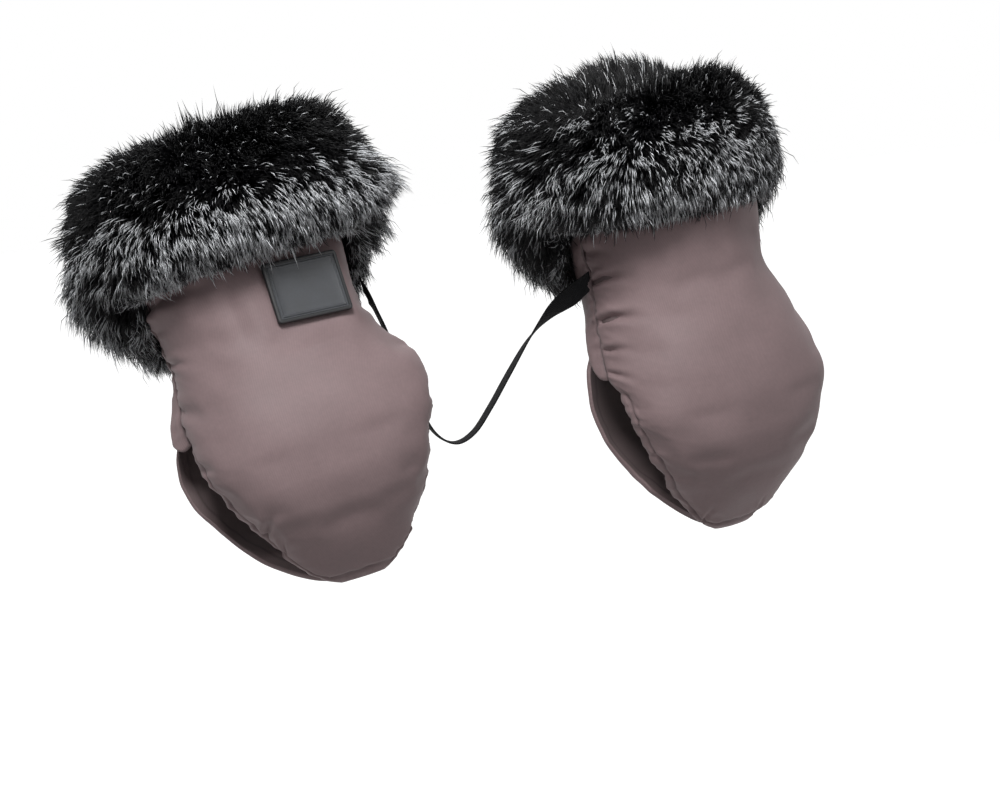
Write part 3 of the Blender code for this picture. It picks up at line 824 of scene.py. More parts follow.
def fur_material():
    """Hair that is black at its root and frosted towards its tip."""
    existing = bpy.data.materials.get("frosted_fur")
    if existing:
        return existing
    material, tree, shader = finish_material("frosted_fur")
    along = carried(tree, "along")
    share = maths(tree, "MULTIPLY", mapped(tree, along, 0.62, 0.76, 0.0, 1.0), carried(tree, "frost"))
    values = {
        "Base Color": mixed(tree, share, shade(colours().fur), shade(colours().frost)),
        "Roughness": mapped(tree, along, 0.0, 1.0, 0.55, 0.38),
        "Specular IOR Level": 0.22,
    }
    feed(tree, shader, values)
    return material


def pile_material():
    """Dense dark under-pile between the hairs' roots."""
    existing = bpy.data.materials.get("under_pile")
    if existing:
        return existing
    material, tree, shader = finish_material("under_pile")
    fuzz = noise(tree, object_place(tree), 900.0, 3.0)
    values = {
        "Base Color": mixed(tree, fuzz, shade(colours().fur, 0.5), shade(colours().fur, 1.5)),
        "Roughness": 0.9,
        "Specular IOR Level": 0.05,
        "Normal": bump(tree, fuzz, 0.8, 0.0008),
    }
    feed(tree, shader, values)
    return material


# Panels


def panel_values(grid, seam):
    """Cloth coordinates and painted seam shade of a panel's points."""
    reach = row_reach(grid)
    down = line_reach(grid[:, grid.shape[1] // 2])[:, None]
    return {"cloth": joined(reach - reach[:, -1:] / 2.0, down, 0.0), "seam": seam}


FRONT_ROWS = 211
FRONT_COLUMNS = 161


def front_grids():
    """Plain outer and inner faces of a front panel, in the muff's own frame."""
    down = np.linspace(0.0, 1.0, FRONT_ROWS)[:, None]
    angle = spread_angles(np.linspace(-1.0, 1.0, FRONT_COLUMNS))[None, :]
    height = RIM - LENGTH * down
    outer = body_surface(height, angle)
    edge = seam_line(height) + TONGUE_EDGE * smooth_step((SLOT_END - height) / SLOT_END)
    padding = FRONT_PADDING * read_shares(FRONT_SHARES, 3, down)
    share = seat_share(height)
    crown = (front_crown(height) + padding) * (1.0 - share) - TONGUE_SEAT * share
    x = (half_width(height) - EDGE_THICKNESS) * across(angle)
    y = edge + (crown - edge) * outward(angle)
    return outer, joined(x, y, RIM - (LENGTH - TONGUE_EDGE) * down)


# Folds of the front panels in the cloth's own place: from its middle, and up the muff;
# then each one's depth and width
FRONT_FOLDS = {
    "left": (
        (((-0.092, 0.099), (-0.068, 0.1045), (-0.042, 0.105), (-0.012, 0.0995)), 0.0042, 0.0048),
        (((-0.09, 0.0655), (-0.072, 0.0645), (-0.051, 0.0625)), 0.002, 0.0026),
        (((-0.09, 0.085), (-0.066, 0.087), (-0.041, 0.0885)), 0.0012, 0.0042),
        (((-0.0935, 0.036), (-0.075, 0.034), (-0.058, 0.027)), 0.0016, 0.005),
        (((-0.093, 0.001), (-0.083, -0.0002), (-0.064, -0.0016)), 0.0014, 0.004),
        (((-0.06, -0.05), (-0.049, -0.041), (-0.041, -0.032)), 0.0026, 0.0028),
        (((-0.048, -0.062), (-0.0439, -0.053), (-0.0425, -0.047)), 0.0018, 0.0022),
        (((0.093, 0.058), (0.072, 0.064), (0.05, 0.0665)), 0.0022, 0.0045),
        (((0.09, 0.033), (0.076, 0.0355), (0.056, 0.035)), 0.0014, 0.004),
    ),
    "right": (
        (((-0.09, 0.0725), (-0.078, 0.077), (-0.05, 0.08)), 0.004, 0.0026),
        (((-0.093, 0.0505), (-0.078, 0.0545), (-0.052, 0.0562)), 0.0042, 0.0024),
        (((-0.096, 0.034), (-0.085, 0.036), (-0.068, 0.0375)), 0.0024, 0.002),
        (((-0.098, 0.022), (-0.09, 0.0212), (-0.072, 0.019)), 0.002, 0.002),
        (((-0.076, -0.03), (-0.069, -0.035), (-0.06, -0.042)), 0.0016, 0.0026),
        (((-0.093, 0.091), (-0.078, 0.0945), (-0.054, 0.096)), 0.0016, 0.004),
        (((0.096, 0.054), (0.07, 0.04), (0.044, 0.028)), 0.0013, 0.0034),
        (((0.096, 0.043), (0.073, 0.032), (0.05, 0.019)), 0.0011, 0.0032),
        (((-0.027, -0.086), (-0.0258, -0.0788), (-0.024, -0.069)), 0.0014, 0.0016),
        (((0.0145, -0.088), (0.0139, -0.082), (0.0134, -0.073)), 0.0014, 0.0014),
    ),
}
FRONT_SEEDS = {"left": 11, "right": 23}
GATHER_DEPTH = 0.0009
GATHER_WAVE = 0.019
GATHER_REACH = 0.011
RIGHT_GATHER_DEPTH = 0.0003
PUCKER_DEPTH = 0.0005
PUCKER_WAVE = 0.0065
PUCKER_REACH = 0.0045
TUCK_DEPTH = 0.0005
TUCK_WAVE = 0.023
TUCK_REACH = 0.0045
DIMPLES = 0.0006
SEAM_DEPTH = 0.001
SEAM_WIDTH = 0.002
# Width of the painted shade along a seam
PAINTED_SEAM_SHADE_WIDTH = 0.001
HELD_REACH = 0.0035
HEM_INSET = 0.0064
HEM_DEPTH = 0.0014
HEM_WIDTH = 0.001
BACK_HEM_DEPTH = 0.0008
BACK_HEM_WIDTH = 0.0008
SLOT_RUN_IN = 0.012
WANDER = 0.0012
WANDER_WAVE = 0.034
FINE_WANDER = 0.0005
FINE_WANDER_WAVE = 0.013
FORWARD_WANDER_WAVE = 0.03
WANDER_REACH = 0.01
NECK_SHIFT = {"left": -0.0056, "right": -0.0024}
NECK_HEIGHT = 0.088
NECK_SPAN = 0.034

# Sideways pull of each muff's right edge and of its flap's left edge, by height
RIGHT_EDGE = {
    "left": (
        (-0.092, 0.0045), (-0.075, 0.0044), (-0.06, 0.0045), (-0.04, 0.0036), (-0.028, 0.0024),
        (-0.015, 0.0012), (0.0, 0.0026), (0.012, 0.0044), (0.024, 0.005), (0.034, 0.0025),
        (0.042, -0.0014), (0.052, -0.0034), (0.065, -0.0026), (0.09, 0.0), (0.166, 0.0),
    ),
    "right": (
        (-0.092, 0.002), (-0.075, 0.0034), (-0.06, 0.0038), (-0.04, 0.0026), (-0.02, 0.0),
        (0.03, 0.0008), (0.044, 0.0014), (0.052, 0.0), (0.064, -0.0036), (0.085, 0.0),
        (0.166, 0.0),
    ),
}
FLAP_LEFT_EDGE = {
    "left": (
        (-0.091, 0.0), (-0.086, 0.0036), (-0.077, 0.0056), (-0.069, 0.0062), (-0.055, 0.0045),
        (-0.045, 0.0036), (-0.037, 0.0044), (-0.029, 0.0066), (-0.021, 0.0095), (-0.013, 0.011),
        (-0.004, 0.012), (0.008, 0.012), (0.018, 0.0105), (0.028, 0.006), (0.036, 0.0),
    ),
    "right": (
        (-0.091, 0.0), (-0.061, -0.001), (-0.053, -0.0047), (-0.045, -0.0062), (-0.037, -0.0053),
        (-0.029, -0.004), (-0.021, -0.0025), (-0.013, -0.001), (0.0, 0.0), (0.036, 0.0),
    ),
}


def seam_wander(side, edge, height):
    """Uneven pull of the sewing along a muff's side seam, outwards and along it."""
    seed = {"left": 3, "right": 5}[side] * 10 + (1 if edge > 0 else 0)
    fine = FINE_WANDER * ripple(height, seed + 2, FINE_WANDER_WAVE)
    outwards = WANDER * ripple(height, seed, WANDER_WAVE) + fine
    return outwards, WANDER * ripple(height, seed + 4, FORWARD_WANDER_WAVE)


def wandered(side, points, gap, share=1.0):
    """Points moved with the seams beside them, the neck's lean and the pulled right edge."""
    middle = points.shape[1] // 2
    moved = points.copy()
    hold = np.exp(-gap / WANDER_REACH)
    height = points[..., 2]
    for edge, columns in ((-1.0, slice(0, middle)), (1.0, slice(middle, None))):
        outwards, forwards = seam_wander(side, edge, height[:, columns])
        moved[:, columns, 0] += edge * outwards * hold[:, columns]
        moved[:, columns, 1] += forwards * hold[:, columns]
    moved[..., 0] += NECK_SHIFT[side] * hill((height - NECK_HEIGHT) / NECK_SPAN)
    to_right = np.clip(points[..., 0] / half_width(height), 0.0, 1.0)
    moved[..., 0] += share * to_right**2 * read_shares(RIGHT_EDGE[side], 1, height)
    return moved


def front_relief(side, outer):
    """Height of seams, hem and folds over a front panel, its painted seam shade and its hem's gap."""
    reach = row_reach(outer)
    gap = edge_gap(outer)
    from_middle = reach - reach[:, -1:] / 2.0
    height = outer[..., 2]
    tip_gap = (height - TIP) * 1.15 + 0.0008
    below = smooth_step((SLOT_END - height) / SLOT_RUN_IN)
    hem_gap = np.where(below > 0.0, np.minimum(gap, tip_gap), gap)
    is_left = (np.arange(outer.shape[1]) < outer.shape[1] // 2)[None, :]
    seed = FRONT_SEEDS[side]
    along = height + np.where(is_left, 0.0, 0.37) + from_middle * 0.35
    strength = np.where(is_left, GATHER_DEPTH, RIGHT_GATHER_DEPTH)
    strength = strength * np.clip(0.5 + 0.7 * ripple(along, seed + 5, 0.05), 0.0, 1.3)
    gather = strength * ripple(along, seed, GATHER_WAVE) * np.exp(-gap / GATHER_REACH)
    pucker = PUCKER_DEPTH * ripple(along, seed + 6, PUCKER_WAVE)
    pucker = pucker * np.exp(-gap / PUCKER_REACH) * (1.0 - below)
    held_in = smooth_step(hem_gap / HELD_REACH)
    from_hem = hem_gap - HEM_INSET - 0.0006 * ripple(along, seed + 9, 0.03)
    groove = hill(from_hem / HEM_WIDTH) * below
    tucks = TUCK_DEPTH * ripple(height + from_middle * 0.9, seed + 14, TUCK_WAVE)
    relief = (gather + pucker) * held_in - SEAM_DEPTH * hill(gap / SEAM_WIDTH) * (1.0 - below)
    relief += tucks * hill(from_hem / TUCK_REACH) * below * held_in - HEM_DEPTH * groove
    relief += DIMPLES * soft_noise(from_middle, height, seed + 2, 0.055)
    for path, depth, width in FRONT_FOLDS[side]:
        relief += crease(from_middle, height, path, depth, width)
    if side == "left":
        relief *= 1.0 - under_patch(outer)
    # Painted shade along the side seams and in the hem's groove
    sewn = hill(gap / PAINTED_SEAM_SHADE_WIDTH) * (1.0 - below)
    return relief, np.clip(0.8 * groove + 0.9 * sewn, 0.0, 1.0), gap, hem_gap


def under_patch(points):
    """1 where the patch is sewn on, 0 a little way outside it."""
    wide = sizes().patch_width / 2.0 - np.abs(points[..., 0] - PATCH_CENTRE[0])
    tall = sizes().patch_height / 2.0 - np.abs(points[..., 2] - PATCH_CENTRE[1])
    return smooth_step(1.0 + wide / PATCH_FADE[0]) * smooth_step(1.0 + tall / PATCH_FADE[1])


def sewn_hold(gap, height):
    """How firmly the filled cloth is held: at its seams and, less, on the studs' seat."""
    held = 1.0 - smooth_step((gap - 0.001) / 0.004)
    held[0] = 1.0
    held[-1] = 1.0
    return np.maximum(held, seat_share(height) * 0.6)


def add_front_panel(side):
    outer, inner = front_grids()
    relief, painted_seam_shade, gap, hem_gap = front_relief(side, outer)
    held = sewn_hold(hem_gap, outer[..., 2])
    if side == "left":
        held = np.maximum(held, under_patch(outer))
    move = settled(side + "_front", outer, inner, None, held)
    normals = grid_normals(outer)
    normals *= -np.sign(normals[..., 1:2].mean())
    shaped = wandered(side, outer + move + normals * relief[..., None], gap)
    if side == "left":
        flat = patch_depth(outer[..., 0], outer[..., 2]) - shaped[..., 1]
        shaped[..., 1] += flat * under_patch(outer)
    piece, _ = padded_panel(
        side + "_front_panel",
        placed(shaped, side),
        placed(wandered(side, inner, gap), side),
        panel_finishes(),
        panel_values(outer, painted_seam_shade),
    )
    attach(piece, side + "_muff")
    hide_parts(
        side + "_front_shell", side + "_front_wadding", side + "_front_lining"
    )


SWELL = {"left": 0.0085, "right": 0.003}
SWELL_HEIGHT = 0.024
SWELL_SPAN = 0.028
SWELL_REACH = 0.034
INNER_SWELL = 0.7
HEM_DROP = {"left": 0.004, "right": 0.001}
HEM_DROP_START = 0.018
HEM_DROP_FADE = 0.016
BACK_SEEDS = {"left": 41, "right": 57}
BACK_ROWS = 100
BACK_COLUMNS = 141
FLAP_ROWS = 95
FOLD_DEGREES = 50.0
HEM_RISE_DEGREES = 28.0
FOLD_HEIGHT = 0.0365
FLAP_EASE = 0.02


def back_grids():
    """Plain outer and inner faces of the back and its flap, and which quads they have."""
    angle = spread_angles(np.linspace(-1.0, 1.0, BACK_COLUMNS), 1.0)
    inset = (math.pi / 2.0 - np.abs(angle)) / math.radians(HEM_RISE_DEGREES)
    slot_share = down_share(SLOT_END)
    lowest = slot_share + (down_share(FOLD_HEIGHT) - slot_share) * smooth_step(inset)
    place = np.linspace(0.0, 1.0, BACK_ROWS)[:, None] * lowest[None, :]
    height = RIM - LENGTH * place
    outer = body_surface(height, angle, back=True)
    seam = seam_line(height)
    padding = BACK_PADDING * read_shares(BACK_SHARES, 2, place)
    depth = back_crown(height) - padding - seam
    x = (half_width(height) - EDGE_THICKNESS) * across(angle)
    inner = joined(x, seam + depth * outward(angle), height)

    inside = np.nonzero(np.abs(angle) <= math.radians(FOLD_DEGREES))[0]
    flap = slice(inside[0], inside[-1] + 1)
    faces = []
    for body, lower in zip((outer, inner), flap_grids(outer[-1, flap], inner[-1, flap])):
        below = np.repeat(body[-1:], FLAP_ROWS, axis=0)
        below[:, flap] = lower
        faces.append(np.concatenate((body, below)))
    keep = np.zeros((BACK_ROWS + FLAP_ROWS - 1, BACK_COLUMNS - 1), bool)
    keep[: BACK_ROWS - 1] = True
    keep[BACK_ROWS - 1 :, inside[0] : inside[-1]] = True
    return *faces, keep, flap


def flap_across(columns):
    """Shares across the flap from -1, its left edge, to 1, its right."""
    return np.sin(np.linspace(-1.0, 1.0, columns) * math.pi / 2.0)


def flap_grids(hem_outer, hem_inner):
    """The flap's rows below the part of the back's hem that it hangs from."""
    share = flap_across(len(hem_outer))
    place = np.linspace(0.0, 1.0, FLAP_ROWS + 1)[1:, None]
    seat_run = SEAT_RUN_IN / FLAP_LENGTH
    seat_top = 1.0 - SEAT_HEIGHT / FLAP_LENGTH
    seat = smooth_step((place - seat_top + seat_run) / seat_run)
    width = FLAP_HALF_WIDTH * read_shares(FLAP_SHARES, 1, place)
    crown = FLAP_DEPTH * read_shares(FLAP_SHARES, 2, place)
    padding = FLAP_PADDING * read_shares(FLAP_SHARES, 4, place)
    edge = FLAP_DEPTH * read_shares(FLAP_SHARES, 3, place)
    edge = edge * (1.0 - seat) + (FLAP_SEAT + TONGUE_EDGE) * seat
    power = FLAP_ROOT_POWER + (FLAP_TIP_POWER - FLAP_ROOT_POWER) * place
    swell = 1.0 - np.abs(share) ** power
    ease = smooth_step(place * FLAP_LENGTH / FLAP_EASE)[..., None]
    outer_crown = crown * (1.0 - seat) + (FLAP_SEAT + FLAP_SEAT_THICKNESS) * seat
    inner_crown = (crown - padding) * (1.0 - seat) + FLAP_SEAT * seat
    faces = []
    for hem, thin, lift, top_y in (
        (hem_outer, 0.0, 0.0, outer_crown),
        (hem_inner, EDGE_THICKNESS / 2.0, TONGUE_EDGE, inner_crown),
    ):
        y = edge - lift + (top_y - edge + lift) * swell
        z = FOLD_HEIGHT - 0.001 - (FLAP_LENGTH - lift) * place
        hung = np.repeat(hem[None], FLAP_ROWS, axis=0)
        hung[..., 2] -= FLAP_LENGTH * place
        faces.append(joined((width - thin) * share, y, z) * ease + hung * (1.0 - ease))
    return faces


def side_swell(side, gap, height):
    """How far the back's filling swells out sideways behind its left seam."""
    beside = np.sin(np.clip(gap / SWELL_REACH, 0.0, 1.0) * math.pi) ** 0.8
    return SWELL[side] * beside * hill((height - SWELL_HEIGHT) / SWELL_SPAN)


def hem_drop(side, gap, height):
    """How far the back's hem hangs down beside its left seam."""
    fade = 1.0 - smooth_step((gap - HEM_DROP_START) / HEM_DROP_FADE)
    beside = smooth_step(gap / 0.007) * fade
    return HEM_DROP[side] * beside * smooth_step((0.06 - height) / 0.04)


def add_back_panel(side):
    outer, inner, keep, flap = back_grids()
    gap = edge_gap(outer)
    gap[BACK_ROWS:, flap] = edge_gap(outer[BACK_ROWS:, flap])
    seed = BACK_SEEDS[side]
    reach = row_reach(outer)
    from_middle = reach - reach[:, -1:] / 2.0
    height = outer[..., 2]
    is_flap = np.zeros(gap.shape)
    is_flap[BACK_ROWS:] = 1.0
    gather = ripple(height + from_middle * 0.5, seed, GATHER_WAVE)
    held_in = smooth_step(gap / HELD_REACH)
    relief = GATHER_DEPTH * gather * np.exp(-gap / GATHER_REACH) * held_in
    relief += DIMPLES * soft_noise(from_middle, height, seed + 2, 0.05)
    from_hem = gap - HEM_INSET - 0.0005 * ripple(height, seed + 9, 0.03)
    groove = hill(from_hem / BACK_HEM_WIDTH) * is_flap
    relief -= BACK_HEM_DEPTH * groove
    # Painted shade along the seams and in the flap's hem groove
    sewn = hill(gap / PAINTED_SEAM_SHADE_WIDTH) * (1.0 - is_flap)
    painted_seam_shade = np.clip(0.8 * groove + 0.9 * sewn, 0.0, 1.0)
    move = settled(side + "_back", outer, inner, keep, sewn_hold(gap, height))
    from_left = from_middle + reach[:, -1:] / 2.0
    swell = side_swell(side, from_left, height) * (1.0 - is_flap)
    drop = hem_drop(side, from_left, height) * (1.0 - is_flap)
    move[..., 0] -= swell
    move[..., 2] -= drop
    inner[..., 0] -= swell * INNER_SWELL
    inner[..., 2] -= drop
    normals = grid_normals(outer)
    normals *= np.sign(np.nanmean(normals[:BACK_ROWS, :, 1]))
    relief[BACK_ROWS:, : flap.start] = 0.0
    relief[BACK_ROWS:, flap.stop :] = 0.0
    seam_gap = np.where(is_flap > 0.0, 1.0, gap)
    root_share = 1.0 - is_flap * smooth_step((FOLD_HEIGHT - height) / FLAP_EASE)
    shaped = wandered(side, outer + move + normals * relief[..., None], seam_gap, root_share)
    inner = wandered(side, inner, seam_gap, root_share)
    to_left = np.clip(-flap_across(flap.stop - flap.start), 0.0, 1.0)
    pull = to_left**2 * read_shares(FLAP_LEFT_EDGE[side], 1, height[BACK_ROWS:, flap])
    shaped[BACK_ROWS:, flap, 0] -= pull
    inner[BACK_ROWS:, flap, 0] -= pull
    piece, _ = padded_panel(
        side + "_back_panel",
        placed(shaped, side)[:, ::-1],
        placed(inner, side)[:, ::-1],
        panel_finishes(),
        {key: value[:, ::-1] for key, value in panel_values(outer, painted_seam_shade).items()},
        keep[:, ::-1],
    )
    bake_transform(piece)
    layers = ("shell", "wadding", "lining")
    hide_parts(*[side + "_back_" + layer for layer in layers])
    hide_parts(*[side + "_flap_" + layer for layer in layers])


# Fur cuffs

FUR_DEPTH_TO_LEFT = {"left": 0.0545, "right": 0.059}
FUR_DEPTH_TO_RIGHT = {"left": 0.044, "right": 0.025}
FUR_LESS_BEHIND = 0.0125
FUR_LESS_IN_FRONT = {"left": 0.006, "right": 0.021}
FUR_SAG = {"left": 0.0125, "right": 0.0085}
FUR_TOP = 0.0355
FUR_TOP_FALL = {"left": (0.22, 0.22), "right": (0.6, 0.95)}
FUR_FRONT_HEM = 0.057
FUR_SIDE_HEM = {"left": (0.069, 0.052), "right": (0.051, 0.08)}
FUR_HEM_RISE = {"left": (2.5, 2.0), "right": (2.3, 3.0)}
FUR_TUCK = 0.4
FUR_BACK_HEM = 0.112
RIM_THICKNESS = 0.0045
MOUTH_INSIDE = 0.0131
PILE_SHARE = 0.36
PILE_TOP = 0.011
PILE_HEM_LIFT = 0.2
RING_STEPS = 320
PILE_ROWS = 56
PILE_GAP = 0.0004
PILE_RIM_LIFT = 0.0006
PILE_OFF_WALL = 0.001
HAIR_ROWS = 100
HAIR_COLUMNS = 400
HAIR_SEEDS = {"left": 101, "right": 211}
HAIR_PLACES = (0.0, 0.86, 1.0)
HAIR_WIDTH_SHARES = (0.55, 1.0)
HAIR_FACES = (
    ((0, 1, 4, 3), (1, 2, 5, 4), (2, 0, 3, 5)),
    ((3, 4, 6), (4, 5, 6), (5, 3, 6), (2, 1, 0)),
)
HEM_CROWDING = 2.2
LONG_SHARE = 0.05
HAIRS_TO_LOCK = 15
CUFF_GIRTH = 0.42
CUFF_RUN = 0.13
STRAY = 0.0018
LEADER_STRAY = 0.0045
LOCK_HOLD = 0.65
FROSTED_SHARE = {"left": 0.66, "right": 0.44}
# Share up the cuff where the frost fades out; the black above it is partly painted shade
FROST_TOP = {"left": 0.34, "right": 0.5}
FROST_LESS_LOW = {"left": 0.2, "right": 0.75}
FROST_FADE = 0.26
FROST_BEHIND = 0.34
FROSTED_IN_LOCK = 0.6
FLARE_IN_FRONT = 0.35
CUFF_PARTS = 5
RIM_ROW_SHARE = 0.62

# Outlines as (depth share, fixed part, share up the wall, height above the rim): where the
# hairs' tips reach, then the under-pile that they grow from, each up the wall and over
FUR_WALL = (
    (0.08, 0.0, 0.0, 0.0),
    (0.52, 0.0, 0.0, 0.0),
    (0.88, 0.0, 0.17, 0.0),
    (0.97, 0.0, 0.32, 0.0),
    (1.0, 0.0, 0.46, 0.0),
    (1.0, 0.0, 0.75, 0.0),
    (0.98, 0.0, 1.0, 0.0),
)
FUR_OVER = (
    (0.98, 0.0, 1.0, 0.0),
    (0.78, 0.0, 1.0, 0.6 * FUR_TOP),
    (0.36, 0.0, 1.0, 1.0 * FUR_TOP),
    (0.0, 0.0, 1.0, 1.1 * FUR_TOP),
    (-0.35, 0.0, 1.0, 1.0 * FUR_TOP),
    (-0.75, 0.0, 1.0, 0.7 * FUR_TOP),
    (-0.85, 0.0, 1.0, 0.0),
)
PILE_WALL = (
    (0.0, 0.0015, PILE_HEM_LIFT, 0.0),
    (PILE_SHARE * 0.6, 0.0, PILE_HEM_LIFT + 0.03, 0.0),
    (PILE_SHARE * 0.9, 0.0, PILE_HEM_LIFT + 0.15, 0.0),
    (PILE_SHARE, 0.0, PILE_HEM_LIFT + 0.3, 0.0),
    (PILE_SHARE, 0.0, 1.0, 0.0),
)
PILE_OVER = (
    (PILE_SHARE, 0.0, 1.0, 0.0),
    (PILE_SHARE * 0.85, 0.0, 1.0, 0.5 * PILE_TOP),
    (PILE_SHARE * 0.45, 0.0, 1.0, 0.95 * PILE_TOP),
    (0.0, -0.004, 1.0, 1.0 * PILE_TOP),
    (0.0, -0.01, 1.0, 0.75 * PILE_TOP),
    (0.0, -MOUTH_INSIDE, 1.0, 0.0),
    (0.0, -MOUTH_INSIDE, 1.0, -0.017),
)


def ring_angles(steps):
    """Angle and side of each step round the cuff: its front, then its back."""
    turn = np.arange(steps) / steps
    share = np.where(turn < 0.5, turn * 4.0 - 1.0, 3.0 - turn * 4.0)
    return spread_angles(share), turn >= 0.5


def hem_height(side, angle, back):
    """Height of the fur's hem: level in front, and behind it rises towards the seams."""
    towards_side = (1.0 - np.cos(angle)) ** np.where(angle < 0.0, *FUR_HEM_RISE[side])
    beside = np.where(angle < 0.0, *FUR_SIDE_HEM[side])
    front = FUR_FRONT_HEM + 0.002 * (1.0 - np.cos(angle)) ** 3
    behind = FUR_BACK_HEM + (beside - FUR_BACK_HEM) * towards_side
    return RIM - np.where(back, behind, front)


def even_rows(rows, steps):
    """Rows of an outline at even steps along it."""
    rows = np.array(rows)
    flat = np.stack((rows[:, 0] * 0.04 + rows[:, 1], rows[:, 2] * 0.075 + rows[:, 3]), axis=1)
    reach = line_reach(flat)
    place = np.linspace(0.0, reach[-1], steps)
    return np.stack([np.interp(place, reach, rows[:, k]) for k in range(4)], axis=1)


def cuff_outline(wall, over, steps):
    """An outline with the same share of its rows up the wall for fur and under-pile."""
    below = int(steps * RIM_ROW_SHARE)
    return np.concatenate((even_rows(wall, below + 1)[:-1], even_rows(over, steps - below)))


def cuff_grid(side, steps, outline):
    """Points round the cuff for each row of its outline, in the muff's own frame."""
    angle, back = ring_angles(steps)
    deep, fixed, up, above = outline.T[:, :, None]
    to_left = FUR_DEPTH_TO_LEFT[side]
    depth = to_left + (FUR_DEPTH_TO_RIGHT[side] - to_left) * (1.0 + np.sin(angle)) / 2.0
    depth = depth - np.where(back, FUR_LESS_BEHIND, FUR_LESS_IN_FRONT[side]) * np.cos(angle)
    hem = hem_height(side, angle, back)
    sag = FUR_SAG[side] * np.sin(angle) ** 2 * (1.0 - 2.0 * up)
    tuck = FUR_TUCK * (np.cos(angle) * ~back) * (1.0 - up) ** 2
    fall = 1.0 - np.where(angle < 0.0, *FUR_TOP_FALL[side]) * np.sin(angle) ** 2
    height = hem + (RIM - hem) * up + np.maximum(above, 0.0) * fall + np.minimum(above, 0.0)
    grow = deep * (depth + sag) * (1.0 - tuck) + fixed
    points = body_surface(np.minimum(height, RIM), angle, grow, back)
    points[..., 2] = height
    return points


def add_cuff_pile(side):
    """The cuff's dark under-pile, a closed ring hooked over the rim."""
    outer = cuff_outline(PILE_WALL, PILE_OVER, PILE_ROWS)
    facing = -RIM_THICKNESS - PILE_GAP
    inside = (-0.017, -0.012, -0.006, PILE_RIM_LIFT)
    rising = [(0.0, facing, 1.0, height) for height in inside]
    lowering = np.linspace(1.0, PILE_HEM_LIFT, 8)
    falling = [(0.0, PILE_OFF_WALL, share, PILE_RIM_LIFT * share) for share in lowering]
    grid = cuff_grid(side, RING_STEPS, np.concatenate((outer, np.array(rising + falling))))
    faces = [ring_quads(*grid.shape[:2], closed=True)]
    points = placed(grid.reshape(-1, 3), side)
    piece = mesh_piece(side + "_cuff_pile", points, faces, (pile_material(),))
    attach(piece, side + "_muff")
    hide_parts(side + "_fur_cuff")


def grid_value(field, row, column):
    """Values of a ring grid's field at places between its points."""
    rows, columns = field.shape[:2]
    row = np.clip(row, 0.0, rows - 1.001)
    low = np.floor(row).astype(int)
    part_r = (row - low)[:, None]
    left = np.floor(column).astype(int)
    part_c = (column - left)[:, None]
    left = left % columns
    right = (left + 1) % columns
    first = field[low, left] * (1.0 - part_c) + field[low, right] * part_c
    second = field[low + 1, left] * (1.0 - part_c) + field[low + 1, right] * part_c
    return first * (1.0 - part_r) + second * part_r


